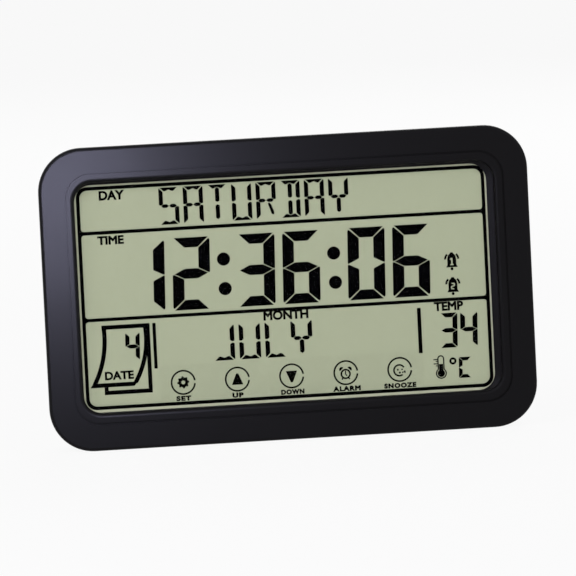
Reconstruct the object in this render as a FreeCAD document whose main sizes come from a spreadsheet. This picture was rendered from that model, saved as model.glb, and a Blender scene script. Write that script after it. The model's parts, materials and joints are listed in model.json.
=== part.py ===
import FreeCAD, Part
import math
import os
import re
import Sketcher
from FreeCAD import Placement, Rotation, Vector

# A desk clock with a large liquid crystal panel, five touch keys, a folding stand and a battery bay.
# X is the width seen from the front, the front faces -Y, and the case stands on Z = 0.
# Depth runs from the front face at -case_depth / 2 to the back face at +case_depth / 2.

# Driving sizes in millimetres
SIZES = {
    # Case
    "case_width": 230.0,
    "case_height": 142.4,
    "case_depth": 28.0,
    "corner_radius": 20.6,
    "bezel_depth": 11.0,
    "rim_deep": 3.0,
    "bezel_wall": 2.2,
    "cover_wall": 2.0,
    "side_draft": 1.0,
    "top_draft": 1.7,
    "back_side_taper": 2.5,
    "back_top_taper": 4.0,
    "back_corner_radius": 18.8,
    "front_round": 1.6,
    "back_round": 2.5,
    # Bezel face and window
    "front_plate": 3.2,
    "groove_side": 12.0,
    "groove_end": 12.3,
    "groove_width": 1.0,
    "groove_deep": 0.8,
    "groove_radius": 12.0,
    "groove_lift": 0.4,
    "lip_side": 16.4,
    "lip_end": 17.1,
    "lip_radius": 8.5,
    "lip_lift": 0.5,
    "lip_deep": 2.1,
    "lip_round": 2.0,
    "window_side": 18.05,
    "window_end": 17.75,
    "window_radius": 8.0,
    "window_left": 1.45,
    # Seam between bezel and cover
    "tongue_deep": 1.6,
    "tongue_wall": 1.0,
    "seam_gap": 0.1,
    # Display stack
    "glass_side": 15.0,
    "glass_end": 13.8,
    "glass_thick": 1.1,
    "contact_ledge": 2.6,
    "film_thick": 0.2,
    "film_gap": 0.1,
    "film_inset": 0.5,
    "lens_thick": 1.5,
    "lens_margin": 1.0,
    "tape_thick": 0.2,
    "tape_wide": 3.0,
    "key_pitch": 25.55,
    "key_radius": 5.5,
    "key_lift": 12.05,
    "key_strip_rise": 16.0,
    "tail_wide": 12.0,
    # Display holder
    "holder_wall": 1.2,
    "holder_gap": 0.3,
    "holder_ledge": 1.2,
    "holder_bar": 9.0,
    "holder_rim": 4.0,
    "standoff_radius": 2.5,
    "ear_spacing": 160.0,
    "ear_half": 3.6,
    "ear_post_radius": 3.2,
    "ear_thick": 1.6,
    "ear_reach": 4.4,
    # Main board
    "board_span": 132.0,
    "board_bottom": 66.0,
    "board_thick": 1.6,
    "zebra_tall": 3.5,
    "zebra_thick": 1.6,
    "zebra_inset": 4.0,
    "zebra_gap": 0.3,
    "board_screw_inset": 6.0,
    # Fastening
    "screw_inset": 8.8,
    "screw_low": 24.0,
    "boss_radius": 3.0,
    "well_radius": 2.9,
    "well_wall": 1.3,
    "well_seat": 10.0,
    "seat_thick": 1.8,
    "case_screw_radius": 1.25,
    "case_screw_long": 10.0,
    "small_screw_radius": 0.9,
    "small_screw_long": 3.4,
    "bite": 0.05,
    # Stand
    "stand_width": 52.0,
    "stand_tip_width": 40.0,
    "stand_long": 57.0,
    "stand_thick": 3.8,
    "stand_skin": 1.6,
    "stand_gap": 0.5,
    "hinge_height": 66.0,
    "hinge_deep": 2.8,
    "barrel_radius": 2.4,
    "heel_reach": 4.0,
    "heel_thick": 1.4,
    "heel_width": 30.0,
    "pivot_radius": 1.5,
    "pivot_long": 2.4,
    "pivot_gap": 0.05,
    "recess_wall": 1.6,
    "scoop_radius": 8.5,
    "scoop_deep": 3.0,
    # Battery bay
    "bay_inset": 48.5,
    "bay_height": 35.5,
    "cell_radius": 7.25,
    "cell_long": 50.5,
    "nub_radius": 2.75,
    "nub_long": 1.2,
    "cell_gap": 1.0,
    "cell_play": 0.5,
    "spring_long": 5.7,
    "contact_thick": 0.4,
    "contact_side": 11.0,
    "bay_wall": 1.5,
    "door_ledge": 2.3,
    "door_thick": 1.8,
    "door_gap": 0.3,
    "tab_wide": 7.0,
    "tab_spacing": 34.0,
    "tab_reach": 1.8,
    "tab_thick": 1.1,
    # Openings in the back
    "keyhole_spacing": 124.0,
    "keyhole_drop": 30.4,
    "keyhole_radius": 4.5,
    "keyhole_slot": 4.4,
    "keyhole_rise": 9.0,
    "sound_left": 40.0,
    "sound_height": 98.0,
    "sound_hole": 0.9,
    "sound_ring": 4.4,
    "vent_left": 62.0,
    "vent_height": 48.0,
    "vent_wide": 2.0,
    "vent_long": 16.0,
    "vent_pitch": 5.5,
    # Wires and small parts
    "wire_radius": 0.6,
    "wire_bend": 4.0,
    "buzzer_radius": 6.0,
    "buzzer_tall": 8.5,
}

# Named places, worked out from the sizes
FRONT = "(-case_depth / 2)"
BACK = "(case_depth / 2)"
RIM_BACK = "(rim_deep - case_depth / 2)"
BACK_EDGE = "(case_depth / 2 - back_round - 0.2)"
SEAM = "(bezel_depth - case_depth / 2)"
PLATE_BACK = "(front_plate - case_depth / 2)"
INNER_BACK = "(case_depth / 2 - cover_wall)"
MIDDLE = "(case_height / 2)"
PANEL_X = "(-window_left)"
GROOVE_WIDTH = "(case_width - 2 * groove_side)"
GROOVE_HEIGHT = "(case_height - 2 * groove_end)"
LIP_WIDTH = "(case_width - 2 * lip_side)"
LIP_HEIGHT = "(case_height - 2 * lip_end)"
WINDOW_WIDTH = "(case_width - 2 * window_side)"
WINDOW_HEIGHT = "(case_height - 2 * window_end)"
GLASS_WIDTH = "(case_width - 2 * glass_side)"
GLASS_HEIGHT = "(case_height - 2 * glass_end)"
KEY_Z = "(window_end + key_lift)"
SEAM_WIDTH = "(case_width - 2 * side_draft)"
SEAM_HEIGHT = "(case_height - top_draft)"
SEAM_RADIUS = "(corner_radius - side_draft)"
BACK_WIDTH = f"({SEAM_WIDTH} - 2 * back_side_taper)"
BACK_HEIGHT = f"({SEAM_HEIGHT} - back_top_taper)"

LENS_FRONT = f"({PLATE_BACK} + tape_thick)"
LENS_BACK = f"({LENS_FRONT} + lens_thick)"
FILM_BACK = f"({LENS_BACK} + film_thick)"
POLARISER_FRONT = f"({FILM_BACK} + film_gap)"
GLASS_FRONT = f"({POLARISER_FRONT} + film_thick)"
GLASS_MIDDLE = f"({GLASS_FRONT} + glass_thick)"
GLASS_BACK = f"({GLASS_MIDDLE} + glass_thick)"
STACK_BACK = f"({GLASS_BACK} + film_thick)"
HOLDER_FRONT = f"({POLARISER_FRONT})"
HOLDER_BACK = f"({STACK_BACK} + holder_ledge)"
BOARD_FRONT = f"({GLASS_MIDDLE} + zebra_tall)"
BOARD_BACK = f"({BOARD_FRONT} + board_thick)"
GLASS_TOP = "(case_height - glass_end)"
ZEBRA_Z = f"({GLASS_TOP} - contact_ledge / 2)"
BOARD_TOP = f"({GLASS_TOP})"
BOARD_Z = f"((board_bottom + {BOARD_TOP}) / 2)"
BOARD_RISE = f"({BOARD_TOP} - board_bottom)"
BOARD_SCREW_X = "(board_span / 2 - board_screw_inset)"
BOARD_SCREW_LOW = "(board_bottom + board_screw_inset)"
BOARD_SCREW_HIGH = f"({BOARD_TOP} - contact_ledge - board_screw_inset)"
HOLDER_SPAN = f"({GLASS_WIDTH} + 2 * holder_gap + 2 * holder_wall)"
HOLDER_RISE = f"({GLASS_HEIGHT} + 2 * holder_gap + 2 * holder_wall)"
EAR_LIFT = f"({HOLDER_RISE} / 2 + ear_reach)"
EAR_BACK = f"({HOLDER_FRONT} + 1.2 + ear_thick)"
EAR_SEAT = f"({EAR_BACK} - ear_thick)"

SCREW_X = "(case_width / 2 - screw_inset)"
WELL_SEAT = f"({BACK} - well_seat)"
BOSS_BACK = f"({WELL_SEAT} - seat_thick)"

HINGE_Y = f"({BACK} - hinge_deep)"
STAND_TIP = "(hinge_height - stand_long)"
STAND_BACK = f"({BACK} - 0.1)"
STAND_FRONT = f"({STAND_BACK} - stand_thick)"
RECESS_FLOOR = f"({STAND_FRONT} - stand_gap)"
HINGE_FLOOR = f"({HINGE_Y} - barrel_radius - 0.4)"
RECESS_TOP = "(hinge_height + heel_reach + stand_gap)"
RECESS_BOTTOM = f"({STAND_TIP} - stand_gap)"
RECESS_WIDTH = "(stand_width + 2 * stand_gap)"
PIVOT_SPAN = "(stand_width + 2 * pivot_long)"

BAY_LONG = "(cell_long + spring_long + 2 * contact_thick)"
BAY_TALL = "(4 * cell_radius + cell_gap + 2 * cell_play)"
BAY_X = "(case_width / 2 - bay_inset)"
BAY_LEFT = f"({BAY_X} - {BAY_LONG} / 2)"
BAY_RIGHT = f"({BAY_X} + {BAY_LONG} / 2)"
DOOR_FRONT = f"({STAND_BACK} - door_thick)"
CELL_Y = f"({DOOR_FRONT} - door_gap - cell_radius)"
BAY_FLOOR = f"({CELL_Y} - cell_radius - door_gap)"
CELL_HIGH = "(bay_height + cell_radius + cell_gap / 2)"
CELL_LOW = "(bay_height - cell_radius - cell_gap / 2)"
DOOR_SPAN = f"({BAY_LONG} + 2 * door_ledge - 2 * door_gap)"
DOOR_RISE = f"({BAY_TALL} + 2 * door_ledge - 2 * door_gap)"
DOOR_SEAT = f"({DOOR_FRONT})"
DOOR_BOTTOM = f"(bay_height - {DOOR_RISE} / 2)"
DOOR_TOP = f"(bay_height + {DOOR_RISE} / 2)"
TAB_BACK = f"({INNER_BACK} - 0.2)"
KEYHOLE_Z = "(case_height - keyhole_drop)"

document = FreeCAD.newDocument("DayClock")
sheet = document.addObject("Spreadsheet::Sheet", "Sizes")
for row, (alias, size) in enumerate(SIZES.items(), start=1):
    sheet.set(f"A{row}", alias)
    sheet.set(f"B{row}", str(size))
    sheet.setAlias(f"B{row}", alias)
document.recompute()

subparts = []


def tied(expression):
    """Point each size name in an expression at the sheet."""
    def cell(word):
        name = word.group()
        return f"Sizes.{name}" if name in SIZES else name
    return re.sub(r"[a-z]\w*", cell, expression)


def value(expression):
    """Return an expression's length in millimetres."""
    return float(sheet.evalExpression(tied(expression)))


def new_body(label):
    """Start a sub-part that carries its own name."""
    body = document.addObject("PartDesign::Body", label)
    body.Label = label
    subparts.append(body)
    return body


def sketch_on(body, role, x="0", y="0", z="0"):
    """Lay an empty sketch on one of the body's own planes, moved to x, y, z of the part's frame."""
    plane = next(face for face in body.Origin.OriginFeatures if face.Role == role)
    sketch = body.newObject("Sketcher::SketchObject", f"{body.Name}_sketch")
    sketch.AttachmentSupport = [(plane, "")]
    sketch.MapMode = "FlatFace"
    across, up, out = {
        "XZ_Plane": (x, z, f"-({y})"),
        "YZ_Plane": (y, z, x),
        "XY_Plane": (x, y, z),
    }[role]
    sketch.setExpression("AttachmentOffset.Base.x", tied(across))
    sketch.setExpression("AttachmentOffset.Base.y", tied(up))
    sketch.setExpression("AttachmentOffset.Base.z", tied(out))
    return sketch


def bind(sketch, dimensions):
    """Add dimensions, each (constraint, expression), whose values come from the sheet."""
    indices = sketch.addConstraint([constraint for constraint, expression in dimensions])
    for index, (constraint, expression) in zip(indices, dimensions):
        sketch.setExpression(f"Constraints[{index}]", tied(expression))


def add_rectangle(sketch, width, height, radius=None):
    """Draw a centred rectangle, with round corners where a radius is given."""
    half_x = value(width) / 2
    half_z = value(height) / 2
    bend = value(radius) if radius else 0.0
    first = sketch.GeometryCount
    ends = [
        (Vector(bend - half_x, -half_z), Vector(half_x - bend, -half_z)),
        (Vector(half_x, bend - half_z), Vector(half_x, half_z - bend)),
        (Vector(half_x - bend, half_z), Vector(bend - half_x, half_z)),
        (Vector(-half_x, half_z - bend), Vector(-half_x, bend - half_z)),
    ]
    sketch.addGeometry([Part.LineSegment(*pair) for pair in ends], False)
    shape_rules = []
    for side in range(4):
        after = (side + 1) % 4
        if radius:
            centre_x = (half_x - bend) * (1 if side in (0, 1) else -1)
            centre_z = (half_z - bend) * (1 if side in (1, 2) else -1)
            circle = Part.Circle(Vector(centre_x, centre_z), Vector(0, 0, 1), bend)
            start = math.pi * (side - 1) / 2
            arc = sketch.addGeometry(Part.ArcOfCircle(circle, start, start + math.pi / 2), False)
            shape_rules.append(Sketcher.Constraint("Tangent", first + side, 2, arc, 1))
            shape_rules.append(Sketcher.Constraint("Tangent", arc, 2, first + after, 1))
            if side:
                shape_rules.append(Sketcher.Constraint("Equal", first + 4, arc))
        else:
            shape_rules.append(Sketcher.Constraint("Coincident", first + side, 2, first + after, 1))
        shape_rules.append(Sketcher.Constraint("Vertical" if side % 2 else "Horizontal", first + side))
    sketch.addConstraint(shape_rules)
    half_width = f"({width}) / 2"
    half_height = f"({height}) / 2"
    dimensions = [
        (Sketcher.Constraint("DistanceX", -1, 1, first + 1, 1, half_x), half_width),
        (Sketcher.Constraint("DistanceX", first + 3, 1, -1, 1, half_x), half_width),
        (Sketcher.Constraint("DistanceY", -1, 1, first + 2, 1, half_z), half_height),
        (Sketcher.Constraint("DistanceY", first, 1, -1, 1, half_z), half_height),
    ]
    if radius:
        dimensions.append((Sketcher.Constraint("Radius", first + 4, bend), radius))
    bind(sketch, dimensions)


def add_circle(sketch, radius, across="0", up="0"):
    """Draw a circle at a place measured from the sketch's origin."""
    centre = Vector(value(across), value(up))
    ring = sketch.addGeometry(Part.Circle(centre, Vector(0, 0, 1), value(radius)), False)
    bind(sketch, [
        (Sketcher.Constraint("DistanceX", -1, 1, ring, 3, centre.x), across),
        (Sketcher.Constraint("DistanceY", -1, 1, ring, 3, centre.y), up),
        (Sketcher.Constraint("Radius", ring, value(radius)), radius),
    ])


def add_outline(sketch, corners):
    """Draw a closed outline of straight lines through corners given as (across, up)."""
    points = [Vector(value(across), value(up)) for across, up in corners]
    lines = [Part.LineSegment(point, after) for point, after in zip(points, points[1:] + points[:1])]
    numbers = sketch.addGeometry(lines, False)
    joined = zip(numbers, numbers[1:] + numbers[:1])
    sketch.addConstraint([Sketcher.Constraint("Coincident", line, 2, after, 1) for line, after in joined])
    dimensions = []
    for line, point, (across, up) in zip(numbers, points, corners):
        dimensions.append((Sketcher.Constraint("DistanceX", -1, 1, line, 1, point.x), across))
        dimensions.append((Sketcher.Constraint("DistanceY", -1, 1, line, 1, point.y), up))
    bind(sketch, dimensions)


def add_polygon(sketch, sides, radius, across="0", up="0"):
    """Draw a regular polygon whose corners lie on a circle, with a flat side at the top."""
    turns = [math.pi * (2 * side + 1) / sides for side in range(sides)]
    add_outline(sketch, [
        (f"{across} + ({radius}) * {math.sin(turn):.6f}", f"{up} + ({radius}) * {math.cos(turn):.6f}")
        for turn in turns
    ])


def feature(body, kind, sketch, **settings):
    """Add a sketched feature, with each length given as an expression."""
    made = body.newObject(f"PartDesign::{kind}", f"{body.Name}_{kind}")
    made.Profile = sketch
    for name, setting in settings.items():
        if isinstance(setting, str):
            made.setExpression(name, tied(setting))
        else:
            setattr(made, name, setting)
    sketch.Visibility = False
    return made


def pad_back(body, sketch, length):
    """Grow a sketch of the XZ plane towards the back of the clock."""
    return feature(body, "Pad", sketch, Length=length, Reversed=True)


def cut_back(body, sketch, length):
    """Cut a sketch of the XZ plane towards the back of the clock."""
    return feature(body, "Pocket", sketch, Length=length)


def pad_both(body, sketch, length):
    """Grow a sketch by half a length on each side."""
    return feature(body, "Pad", sketch, Length=length, Midplane=True)


def cut_both(body, sketch, length):
    """Cut a sketch by half a length on each side."""
    return feature(body, "Pocket", sketch, Length=length, Midplane=True)


def plate(label, width, height, radius, front, back, x="0", z=MIDDLE):
    """Make a flat plate with round corners between two depths."""
    body = new_body(label)
    sketch = sketch_on(body, "XZ_Plane", x=x, y=front, z=z)
    add_rectangle(sketch, width, height, radius)
    pad_back(body, sketch, f"{back} - {front}")
    return body


def block(body, front, back, width, height, radius=None, x="0", z="0", cut=False):
    """Add or cut a rectangle between two depths of a body."""
    sketch = sketch_on(body, "XZ_Plane", x=x, y=front, z=z)
    add_rectangle(sketch, width, height, radius)
    grow = cut_back if cut else pad_back
    grow(body, sketch, f"{back} - {front}")


def columns(body, front, back, radius, places, cut=False, sides=None):
    """Add or cut columns between two depths, at (x, z) places: round ones, or ones with flat sides."""
    sketch = sketch_on(body, "XZ_Plane", y=front)
    for across, up in places:
        if sides:
            add_polygon(sketch, sides, radius, across, up)
        else:
            add_circle(sketch, radius, across, up)
    grow = cut_back if cut else pad_back
    grow(body, sketch, f"{back} - {front}")


def loft(body, kind, sections):
    """Join round-cornered rectangles, each (width, height, radius, x, y, z), with straight sides."""
    sketches = []
    for width, height, radius, x, y, z in sections:
        sketch = sketch_on(body, "XZ_Plane", x=x, y=y, z=z)
        add_rectangle(sketch, width, height, radius)
        sketches.append(sketch)
    made = body.newObject(f"PartDesign::{kind}", f"{body.Name}_{kind}")
    made.Profile = (sketches[0], [""])
    made.Sections = [(sketch, [""]) for sketch in sketches[1:]]
    made.Ruled = True


def edges_at_depth(body, depth, test=lambda box: True):
    """Name the edges that lie flat at one depth and pass a test on their box."""
    document.recompute()
    names = []
    for index, edge in enumerate(body.Shape.Edges, start=1):
        box = edge.BoundBox
        flat = abs(box.YMin - value(depth)) < 0.01 and abs(box.YMax - value(depth)) < 0.01
        if flat and test(box):
            names.append(f"Edge{index}")
    return names


def trim_edges(body, kind, names, size):
    """Put a Fillet or a Chamfer on the named edges of the body's last feature."""
    made = body.newObject(f"PartDesign::{kind}", f"{body.Name}_{kind}")
    made.Base = (body.Tip if body.Tip != made else body.Group[-2], names)
    made.setExpression("Radius" if kind == "Fillet" else "Size", tied(size))


def screw_places():
    """Return the six case screws' places, three up each side."""
    rows = ["screw_low", MIDDLE, "(case_height - screw_low)"]
    return [(side, up) for side in (f"-{SCREW_X}", SCREW_X) for up in rows]


def ear_places():
    """Return the four places where the display holder is screwed to the bezel."""
    sides = [f"({PANEL_X} - ear_spacing / 2)", f"({PANEL_X} + ear_spacing / 2)"]
    return [(side, f"({MIDDLE} + {way} * {EAR_LIFT})") for side in sides for way in (-1, 1)]


def board_screw_places():
    """Return the four places where the board is screwed to the display holder."""
    heights = [BOARD_SCREW_LOW, BOARD_SCREW_HIGH]
    return [(side, up) for side in (f"-{BOARD_SCREW_X}", BOARD_SCREW_X) for up in heights]


def front_bezel():
    """The moulded front frame, with its groove, rolled window lip, screw bosses and holder posts."""
    body = new_body("front_bezel")
    block(body, FRONT, RIM_BACK, "case_width", "case_height", "corner_radius", z=MIDDLE)
    trim_edges(body, "Fillet", edges_at_depth(body, FRONT), "front_round")
    block(body, FRONT, f"({FRONT} + lip_deep)", LIP_WIDTH, LIP_HEIGHT, "lip_radius",
          z=f"{MIDDLE} + lip_lift", cut=True)
    lip_reach = value(LIP_WIDTH) / 2 + 0.1
    trim_edges(body, "Fillet", edges_at_depth(body, FRONT, lambda box: box.XMax < lip_reach and box.XMin > -lip_reach),
                "lip_round")
    loft(body, "AdditiveLoft", [
        ("case_width", "case_height", "corner_radius", "0", RIM_BACK, MIDDLE),
        (SEAM_WIDTH, SEAM_HEIGHT, SEAM_RADIUS, "0", SEAM, f"{SEAM_HEIGHT} / 2"),
    ])
    inside = [
        ("case_width - 2 * bezel_wall", "case_height - 2 * bezel_wall", "corner_radius - bezel_wall",
         "0", PLATE_BACK, MIDDLE),
        (f"{SEAM_WIDTH} - 2 * bezel_wall", f"{SEAM_HEIGHT} - 2 * bezel_wall",
         f"{SEAM_RADIUS} - bezel_wall", "0", SEAM, f"{SEAM_HEIGHT} / 2"),
    ]
    loft(body, "SubtractiveLoft", inside)
    window = [
        (LIP_WIDTH, LIP_HEIGHT, "lip_radius", "0", f"({FRONT} + lip_deep)", f"{MIDDLE} + lip_lift"),
        (WINDOW_WIDTH, WINDOW_HEIGHT, "window_radius", PANEL_X, PLATE_BACK, MIDDLE),
    ]
    loft(body, "SubtractiveLoft", window)
    groove = sketch_on(body, "XZ_Plane", y=FRONT, z=f"{MIDDLE} + groove_lift")
    for side in ("+", "-"):
        add_rectangle(groove, f"{GROOVE_WIDTH} {side} groove_width", f"{GROOVE_HEIGHT} {side} groove_width",
                      f"groove_radius {side} groove_width / 2")
    cut_back(body, groove, "groove_deep")
    rebate_front = f"({SEAM} - tongue_deep - 2 * seam_gap)"
    block(body, rebate_front, SEAM, f"{SEAM_WIDTH} - 2 * (bezel_wall - tongue_wall - seam_gap)",
          f"{SEAM_HEIGHT} - 2 * (bezel_wall - tongue_wall - seam_gap)",
          f"{SEAM_RADIUS} - bezel_wall + tongue_wall + seam_gap", z=f"{SEAM_HEIGHT} / 2", cut=True)
    columns(body, PLATE_BACK, BOSS_BACK, "boss_radius", screw_places(), sides=8)
    columns(body, PLATE_BACK, EAR_SEAT, "ear_post_radius", ear_places(), sides=8)
    columns(body, f"({WELL_SEAT} - case_screw_long - 1)", BOSS_BACK, "case_screw_radius", screw_places(),
            cut=True, sides=6)
    columns(body, f"({EAR_SEAT} + ear_thick - small_screw_long - 0.4)", EAR_SEAT, "small_screw_radius",
            ear_places(), cut=True, sides=6)


def rear_cover():
    """The moulded back shell, with the stand recess, battery bay, screw wells and wall keyholes."""
    body = new_body("rear_cover")
    block(body, BACK_EDGE, BACK, BACK_WIDTH, BACK_HEIGHT, "back_corner_radius", z=f"{BACK_HEIGHT} / 2")
    trim_edges(body, "Fillet", edges_at_depth(body, BACK), "back_round")
    loft(body, "AdditiveLoft", [
        (SEAM_WIDTH, SEAM_HEIGHT, SEAM_RADIUS, "0", SEAM, f"{SEAM_HEIGHT} / 2"),
        (BACK_WIDTH, BACK_HEIGHT, "back_corner_radius", "0", BACK_EDGE, f"{BACK_HEIGHT} / 2"),
    ])
    loft(body, "SubtractiveLoft", [
        (f"{SEAM_WIDTH} - 2 * bezel_wall", f"{SEAM_HEIGHT} - 2 * bezel_wall",
         f"{SEAM_RADIUS} - bezel_wall", "0", SEAM, f"{SEAM_HEIGHT} / 2"),
        (f"{BACK_WIDTH} - 2 * bezel_wall", f"{BACK_HEIGHT} - 2 * bezel_wall",
         "back_corner_radius - cover_wall", "0", INNER_BACK, f"{BACK_HEIGHT} / 2"),
    ])
    tongue = sketch_on(body, "XZ_Plane", y=f"({SEAM} - tongue_deep)", z=f"{SEAM_HEIGHT} / 2")
    for inset in ("(bezel_wall - tongue_wall)", "bezel_wall"):
        add_rectangle(tongue, f"{SEAM_WIDTH} - 2 * {inset}", f"{SEAM_HEIGHT} - 2 * {inset}",
                      f"{SEAM_RADIUS} - {inset}")
    pad_back(body, tongue, "tongue_deep + 0.4")
    stand_recess(body)
    battery_bay(body)
    back_openings(body)
    cover_posts(body)


def cover_posts(body):
    """Six round posts whose wells take the case screws from the back."""
    columns(body, BOSS_BACK, f"({INNER_BACK} + 0.5)", "well_radius + well_wall", screw_places(), sides=8)
    columns(body, WELL_SEAT, BACK, "well_radius", screw_places(), cut=True, sides=12)
    columns(body, BOSS_BACK, WELL_SEAT, "case_screw_radius + 0.2", screw_places(), cut=True, sides=6)


def stand_recess(body):
    """The pocket that the stand folds into, its pivot bearings and the finger scoop at its foot."""
    tall = f"({RECESS_TOP} - {RECESS_BOTTOM})"
    centre = f"(({RECESS_TOP} + {RECESS_BOTTOM}) / 2)"
    well_low = "(hinge_height - barrel_radius - 3 * stand_gap)"
    well_tall = f"({RECESS_TOP} - {well_low})"
    well_centre = f"(({RECESS_TOP} + {well_low}) / 2)"
    inside_back = f"({INNER_BACK} + 0.5)"
    block(body, f"({RECESS_FLOOR} - recess_wall)", inside_back, f"{RECESS_WIDTH} + 2 * recess_wall",
          f"{tall} + 2 * recess_wall", z=centre)
    block(body, f"({HINGE_FLOOR} - recess_wall)", inside_back, f"{PIVOT_SPAN} + 2 * recess_wall + 1",
          f"{well_tall} + 2 * recess_wall", z=well_centre)
    block(body, RECESS_FLOOR, BACK, RECESS_WIDTH, tall, z=centre, cut=True)
    block(body, HINGE_FLOOR, BACK, RECESS_WIDTH, well_tall, z=well_centre, cut=True)
    bearing = sketch_on(body, "YZ_Plane", y=HINGE_Y, z="hinge_height")
    add_circle(bearing, "pivot_radius + pivot_gap")
    cut_both(body, bearing, f"{PIVOT_SPAN} + 2 * seam_gap")
    columns(body, f"({BACK} - scoop_deep)", BACK, "scoop_radius",
            [("0", f"({STAND_TIP} + scoop_radius / 3)")], cut=True)


def battery_bay(body):
    """The bay for two cells side by side, with a ledge for its door and slots for the door's tabs."""
    span = f"({BAY_LONG} + 2 * door_ledge)"
    rise = f"({BAY_TALL} + 2 * door_ledge)"
    collar_front = f"({DOOR_SEAT} - 2.2)"
    place = {"x": BAY_X, "z": "bay_height"}
    block(body, collar_front, f"({INNER_BACK} + 0.5)", f"{span} + 2 * bay_wall", f"{rise} + 2 * bay_wall",
          **place)
    block(body, f"({BAY_FLOOR} - bay_wall)", f"({collar_front} + 0.1)", f"{BAY_LONG} + 2 * bay_wall",
          f"{BAY_TALL} + 2 * bay_wall", **place)
    block(body, DOOR_SEAT, BACK, span, rise, **place, cut=True)
    block(body, BAY_FLOOR, BACK, BAY_LONG, BAY_TALL, **place, cut=True)
    slot_rise = "(door_ledge + tab_reach + 2 * door_gap)"
    for way in (-1, 1):
        block(body, f"({DOOR_SEAT} - 4)", f"({DOOR_SEAT} + 0.1)", "tab_wide + 2 * door_gap", slot_rise,
              x=f"({BAY_X} + {way} * tab_spacing / 2)",
              z=f"({DOOR_BOTTOM} + door_ledge - {slot_rise} / 2)", cut=True)
    latch_rise = "(door_ledge + 1.2)"
    block(body, f"({DOOR_SEAT} - 4)", f"({DOOR_SEAT} + 0.1)", "12", latch_rise, x=BAY_X,
          z=f"({DOOR_TOP} - door_ledge + {latch_rise} / 2)", cut=True)
    for up in (CELL_HIGH, CELL_LOW):
        block(body, f"({CELL_Y} - 2.2)", f"({CELL_Y} + 2.2)", "2 * bay_wall + 0.4", "1.2",
              x=f"({BAY_LEFT} - bay_wall / 2)", z=up, cut=True)


def back_openings(body):
    """Two wall keyholes, the ring of sound holes and the row of air slots."""
    for way in (-1, 1):
        across = f"({way} * keyhole_spacing / 2)"
        columns(body, f"({INNER_BACK} - 1)", BACK, "keyhole_radius", [(across, KEYHOLE_Z)], cut=True)
        block(body, f"({INNER_BACK} - 1)", BACK, "keyhole_slot", "keyhole_rise + keyhole_slot / 2",
              "keyhole_slot / 2 - 0.01", x=across,
              z=f"{KEYHOLE_Z} + keyhole_rise / 2 + keyhole_slot / 4", cut=True)
    centre = ("-sound_left", "sound_height")
    columns(body, f"({INNER_BACK} - 1)", BACK, "sound_hole", [centre], cut=True, sides=8)
    sketch = sketch_on(body, "XZ_Plane", x=centre[0], y=f"({INNER_BACK} - 1)", z=centre[1])
    add_polygon(sketch, 8, "sound_hole", "sound_ring", "0")
    hole = cut_back(body, sketch, "cover_wall + 1")
    document.recompute()
    ring = body.newObject("PartDesign::PolarPattern", "sound_ring")
    ring.Originals = [hole]
    ring.Axis = (sketch, ["N_Axis"])
    ring.Angle = 360
    ring.Occurrences = 4
    body.Tip = ring
    document.recompute()
    sketch = sketch_on(body, "XZ_Plane", x="-vent_left - 2 * vent_pitch", y=f"({INNER_BACK} - 1)",
                       z="vent_height")
    add_rectangle(sketch, "vent_wide", "vent_long")
    slot = cut_back(body, sketch, "cover_wall + 1")
    document.recompute()
    vents = body.newObject("PartDesign::LinearPattern", "air_slots")
    vents.Originals = [slot]
    vents.Direction = (sketch, ["H_Axis"])
    vents.setExpression("Length", tied("4 * vent_pitch"))
    vents.Occurrences = 5
    body.Tip = vents


def battery_door():
    """The bay's door, with two hook tabs at its foot and a spring latch at its head."""
    body = new_body("battery_door")
    block(body, DOOR_FRONT, STAND_BACK, DOOR_SPAN, DOOR_RISE, x=BAY_X, z="bay_height")
    for way in (-1, 1):
        across = f"({BAY_X} + {way} * tab_spacing / 2)"
        block(body, f"({TAB_BACK} - tab_thick)", TAB_BACK, "tab_wide", "tab_reach + 2", x=across,
              z=f"({DOOR_BOTTOM} - tab_reach / 2 + 1)")
        block(body, f"({TAB_BACK} - tab_thick)", f"({DOOR_FRONT} + 0.2)", "tab_wide", "2", x=across,
              z=f"({DOOR_BOTTOM} + 1)")
    block(body, f"({DOOR_FRONT} - 3)", f"({DOOR_FRONT} + 0.2)", "8", "1.2", x=BAY_X,
          z=f"({DOOR_TOP} - 1.6)")
    for way in (-1, 1):
        block(body, DOOR_FRONT, STAND_BACK, "0.8", "9", x=f"({BAY_X} + {way} * 6)",
              z=f"({DOOR_TOP} - 4)", cut=True)
    block(body, f"({STAND_BACK} - 0.7)", STAND_BACK, "9", "4", x=BAY_X,
          z=f"({DOOR_TOP} - 4.5)", cut=True)


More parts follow.
